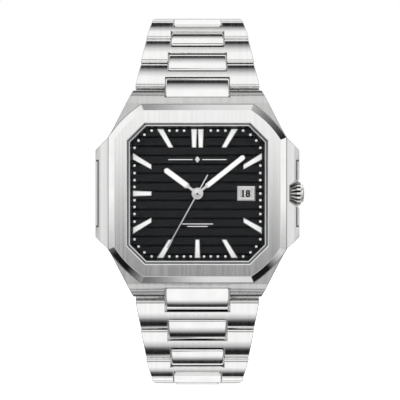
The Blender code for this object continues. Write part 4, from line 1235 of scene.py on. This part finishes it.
def make_bracelet_side(label, sign):
    before = 0.0
    count = sum(1 for name in JOINTS if name.startswith(f"{label}_centre_hinge_"))
    for index in range(1, count + 1):
        near_pin = pin_of(f"{label}_centre_hinge_{index}")
        link_pin = pin_of(f"{label}_link_hinge_{index}")
        centre_tilt = tilt_between(sign, near_pin, link_pin)
        centre_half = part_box(f"{label}_centre_{index}")[1].x
        spacing = (link_pin - near_pin).length
        centre_place = chain_frame(sign, near_pin, centre_tilt)
        make_centre_link(f"{label}_centre_{index}", centre_place, spacing, centre_half)
        if index < count:
            far_pin = pin_of(f"{label}_centre_hinge_{index + 1}")
            link_tilt = tilt_between(sign, link_pin, far_pin)
            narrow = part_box(f"{label}_link_{index + 1}")[1].x
            far_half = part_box(f"{label}_centre_{index + 1}")[1].x
        else:
            link_tilt = 2 * centre_tilt - before
            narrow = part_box("clasp_cover")[1].x
            far_half = centre_half
        before = link_tilt
        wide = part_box(f"{label}_link_{index}")[1].x
        make_outer_link(f"{label}_link_{index}", chain_frame(sign, link_pin, link_tilt), wide, narrow,
                        centre_half + SIDE_GAP, far_half + SIDE_GAP)


def make_clasp():
    def choose(normal, centre):
        return 1 if abs(normal.x) > 0.9 else 0

    finishes = ("link_steel", "flank_steel", "edge_steel")
    refined("clasp_cover", finishes, choose, 0.18 * MM, 3, 2)
    for node in ("clasp_outer_blade", "clasp_inner_blade"):
        refined(node, finishes, choose, edge=2)
    for node in ("push_button_right", "push_button_left"):
        refined(node, ("polished_steel", "edge_steel"), None, 0.2 * MM, 3, 1)


# ---------------------------------------------------------------- studio

def card_ramp(nodes, links, angle, stops, low, high):
    """Brightness by an angle in radians, from stops in degrees."""
    ramp = nodes.new("ShaderNodeValToRGB")
    elements = ramp.color_ramp.elements
    while len(elements) > 1:
        elements.remove(elements[-1])
    for index, (degrees, value) in enumerate(stops):
        position = (degrees - low) / (high - low)
        element = elements[0] if index == 0 else elements.new(position)
        element.position = position
        element.color = grey(value)
    scaled = nodes.new("ShaderNodeMapRange")
    scaled.inputs["From Min"].default_value = math.radians(low)
    scaled.inputs["From Max"].default_value = math.radians(high)
    links.new(angle, scaled.inputs["Value"])
    links.new(scaled.outputs["Result"], ramp.inputs["Fac"])
    return ramp.outputs["Color"]


def grey(level):
    return (level, level, level, 1.0)


def make_world():
    world = bpy.data.worlds.new("studio")
    bpy.context.scene.world = world
    world.use_nodes = True
    nodes = world.node_tree.nodes
    links = world.node_tree.links
    background = nodes["Background"]

    def math_node(operation, first, second=None):
        node = nodes.new("ShaderNodeMath")
        node.operation = operation
        for index, value in enumerate((first, second)):
            if value is None:
                continue
            if isinstance(value, (int, float)):
                node.inputs[index].default_value = value
            else:
                links.new(value, node.inputs[index])
        return node.outputs["Value"]

    def ramp(value, start, end, low, high):
        node = nodes.new("ShaderNodeMapRange")
        node.interpolation_type = "SMOOTHSTEP"
        node.inputs["From Min"].default_value = start
        node.inputs["From Max"].default_value = end
        node.inputs["To Min"].default_value = low
        node.inputs["To Max"].default_value = high
        links.new(value, node.inputs["Value"])
        return node.outputs["Result"]

    def blend(factor, first, second):
        node = nodes.new("ShaderNodeMix")
        node.data_type = "RGBA"
        links.new(factor, node.inputs["Factor"])
        for value, key in ((first, "A"), (second, "B")):
            socket = [item for item in node.inputs if item.name == key and item.type == "RGBA"][0]
            if isinstance(value, tuple):
                socket.default_value = value
            else:
                links.new(value, socket)
        return [item for item in node.outputs if item.type == "RGBA"][0]

    coordinates = nodes.new("ShaderNodeTexCoord")
    split = nodes.new("ShaderNodeSeparateXYZ")
    links.new(coordinates.outputs["Generated"], split.inputs["Vector"])
    x, y, z = split.outputs
    polar = math_node("ARCCOSINE", math_node("MULTIPLY", y, -1.0))
    bearing = math_node("ARCTAN2", x, z)

    def fade(start, end, low=0.0, high=1.0):
        """Ramp over the angle from the lens, given in degrees."""
        return ramp(polar, math.radians(start), math.radians(end), low, high)

    def band(rise, fall):
        return math_node("MULTIPLY", fade(*rise), fade(*fall, 1.0, 0.0))

    sideways = ramp(math_node("ABSOLUTE", x), 0.25, 0.55, 0.0, 1.0)
    card = math_node("MULTIPLY", ramp(math_node("ABSOLUTE", x), 0.8, 0.93, 0.0, 1.0),
                     fade(*SIDE_CARD_END, 1.0, 0.0))
    bright = blend(card, ramp(z, -0.9, 0.7, 0.32, 0.95), grey(SIDE_CARD))
    above = card_ramp(nodes, links, polar, CARDS_ABOVE, 0.0, 180.0)
    below = card_ramp(nodes, links, polar, CARDS_BELOW, 0.0, 180.0)
    upright = blend(ramp(z, -0.03, 0.03, 0.0, 1.0), below, above)
    level = ramp(math_node("ABSOLUTE", z), 0.1, 0.16, 1.0, 0.0)
    flagged = blend(math_node("MULTIPLY", level, band(*FLAG_BAND)), bright, grey(FLAG))
    general = blend(sideways, upright, flagged)
    ring = blend(sideways, band(*NARROW_RING), band(*WIDE_RING))
    split_height = math.sin(math.radians(HOOD_SPLIT))
    hood = ramp(z, -split_height, split_height, 0.3, 1.12)
    with_ring = blend(ring, general, card_ramp(nodes, links, bearing, RING_PATTERN, -180.0, 180.0))
    lit = blend(fade(*HOOD_END, 1.0, 0.0), with_ring, hood)
    path = nodes.new("ShaderNodeLightPath")
    seen = blend(path.outputs["Is Camera Ray"], lit, grey(1.0))
    links.new(seen, background.inputs["Color"])


def make_lamp():
    """Soft key lamp, aimed at the object and left out of mirror reflections."""
    light = bpy.data.lights.new("soft_key", "AREA")
    light.shape = "DISK"
    light.size = LAMP_SIZE
    light.energy = LAMP_POWER
    lamp = new_object("soft_key", light)
    lamp.location = LAMP_PLACE
    lamp.visible_glossy = False
    lamp.rotation_euler = (-Vector(LAMP_PLACE)).to_track_quat("-Z", "Y").to_euler()


def make_floor():
    material = bpy.data.materials.new("pale_floor")
    material.use_nodes = True
    shader = material.node_tree.nodes["Principled BSDF"]
    shader.inputs["Base Color"].default_value = grey(0.9)
    shader.inputs["Roughness"].default_value = 0.9
    shader.inputs["Emission Color"].default_value = grey(1.0)
    shader.inputs["Emission Strength"].default_value = FLOOR_GLOW
    data = bmesh.new()
    bmesh.ops.create_circle(data, cap_ends=True, segments=128, radius=FLOOR_RADIUS)
    mesh = bpy.data.meshes.new("floor")
    data.to_mesh(mesh)
    data.free()
    mesh.materials.append(material)
    floor = new_object("floor", mesh)
    floor.location = (0.0, 0.0, cad_bounds[0][2] - FLOOR_DROP)
    floor.visible_glossy = False


def make_camera():
    data = bpy.data.cameras.new("camera")
    data.lens = LENS
    data.sensor_width = SENSOR
    camera = new_object("camera", data)
    right, up = CAMERA_OFFSET
    camera.location = (right, -DIAL_TOP - CAMERA_DISTANCE, up)
    camera.rotation_euler = (math.pi / 2, 0.0, 0.0)
    bpy.context.scene.camera = camera


make_case()
make_bezel()
make_crystal()
make_flange()
make_case_back()
make_crown()
make_dial()
make_markers()
make_minute_dots()
make_date()
make_hands()
make_emblem()
make_movement()
make_bracelet_side("upper", 1)
make_bracelet_side("lower", -1)
make_clasp()

make_world()
make_lamp()
make_floor()
make_camera()
bpy.context.scene.view_settings.view_transform = "Standard"
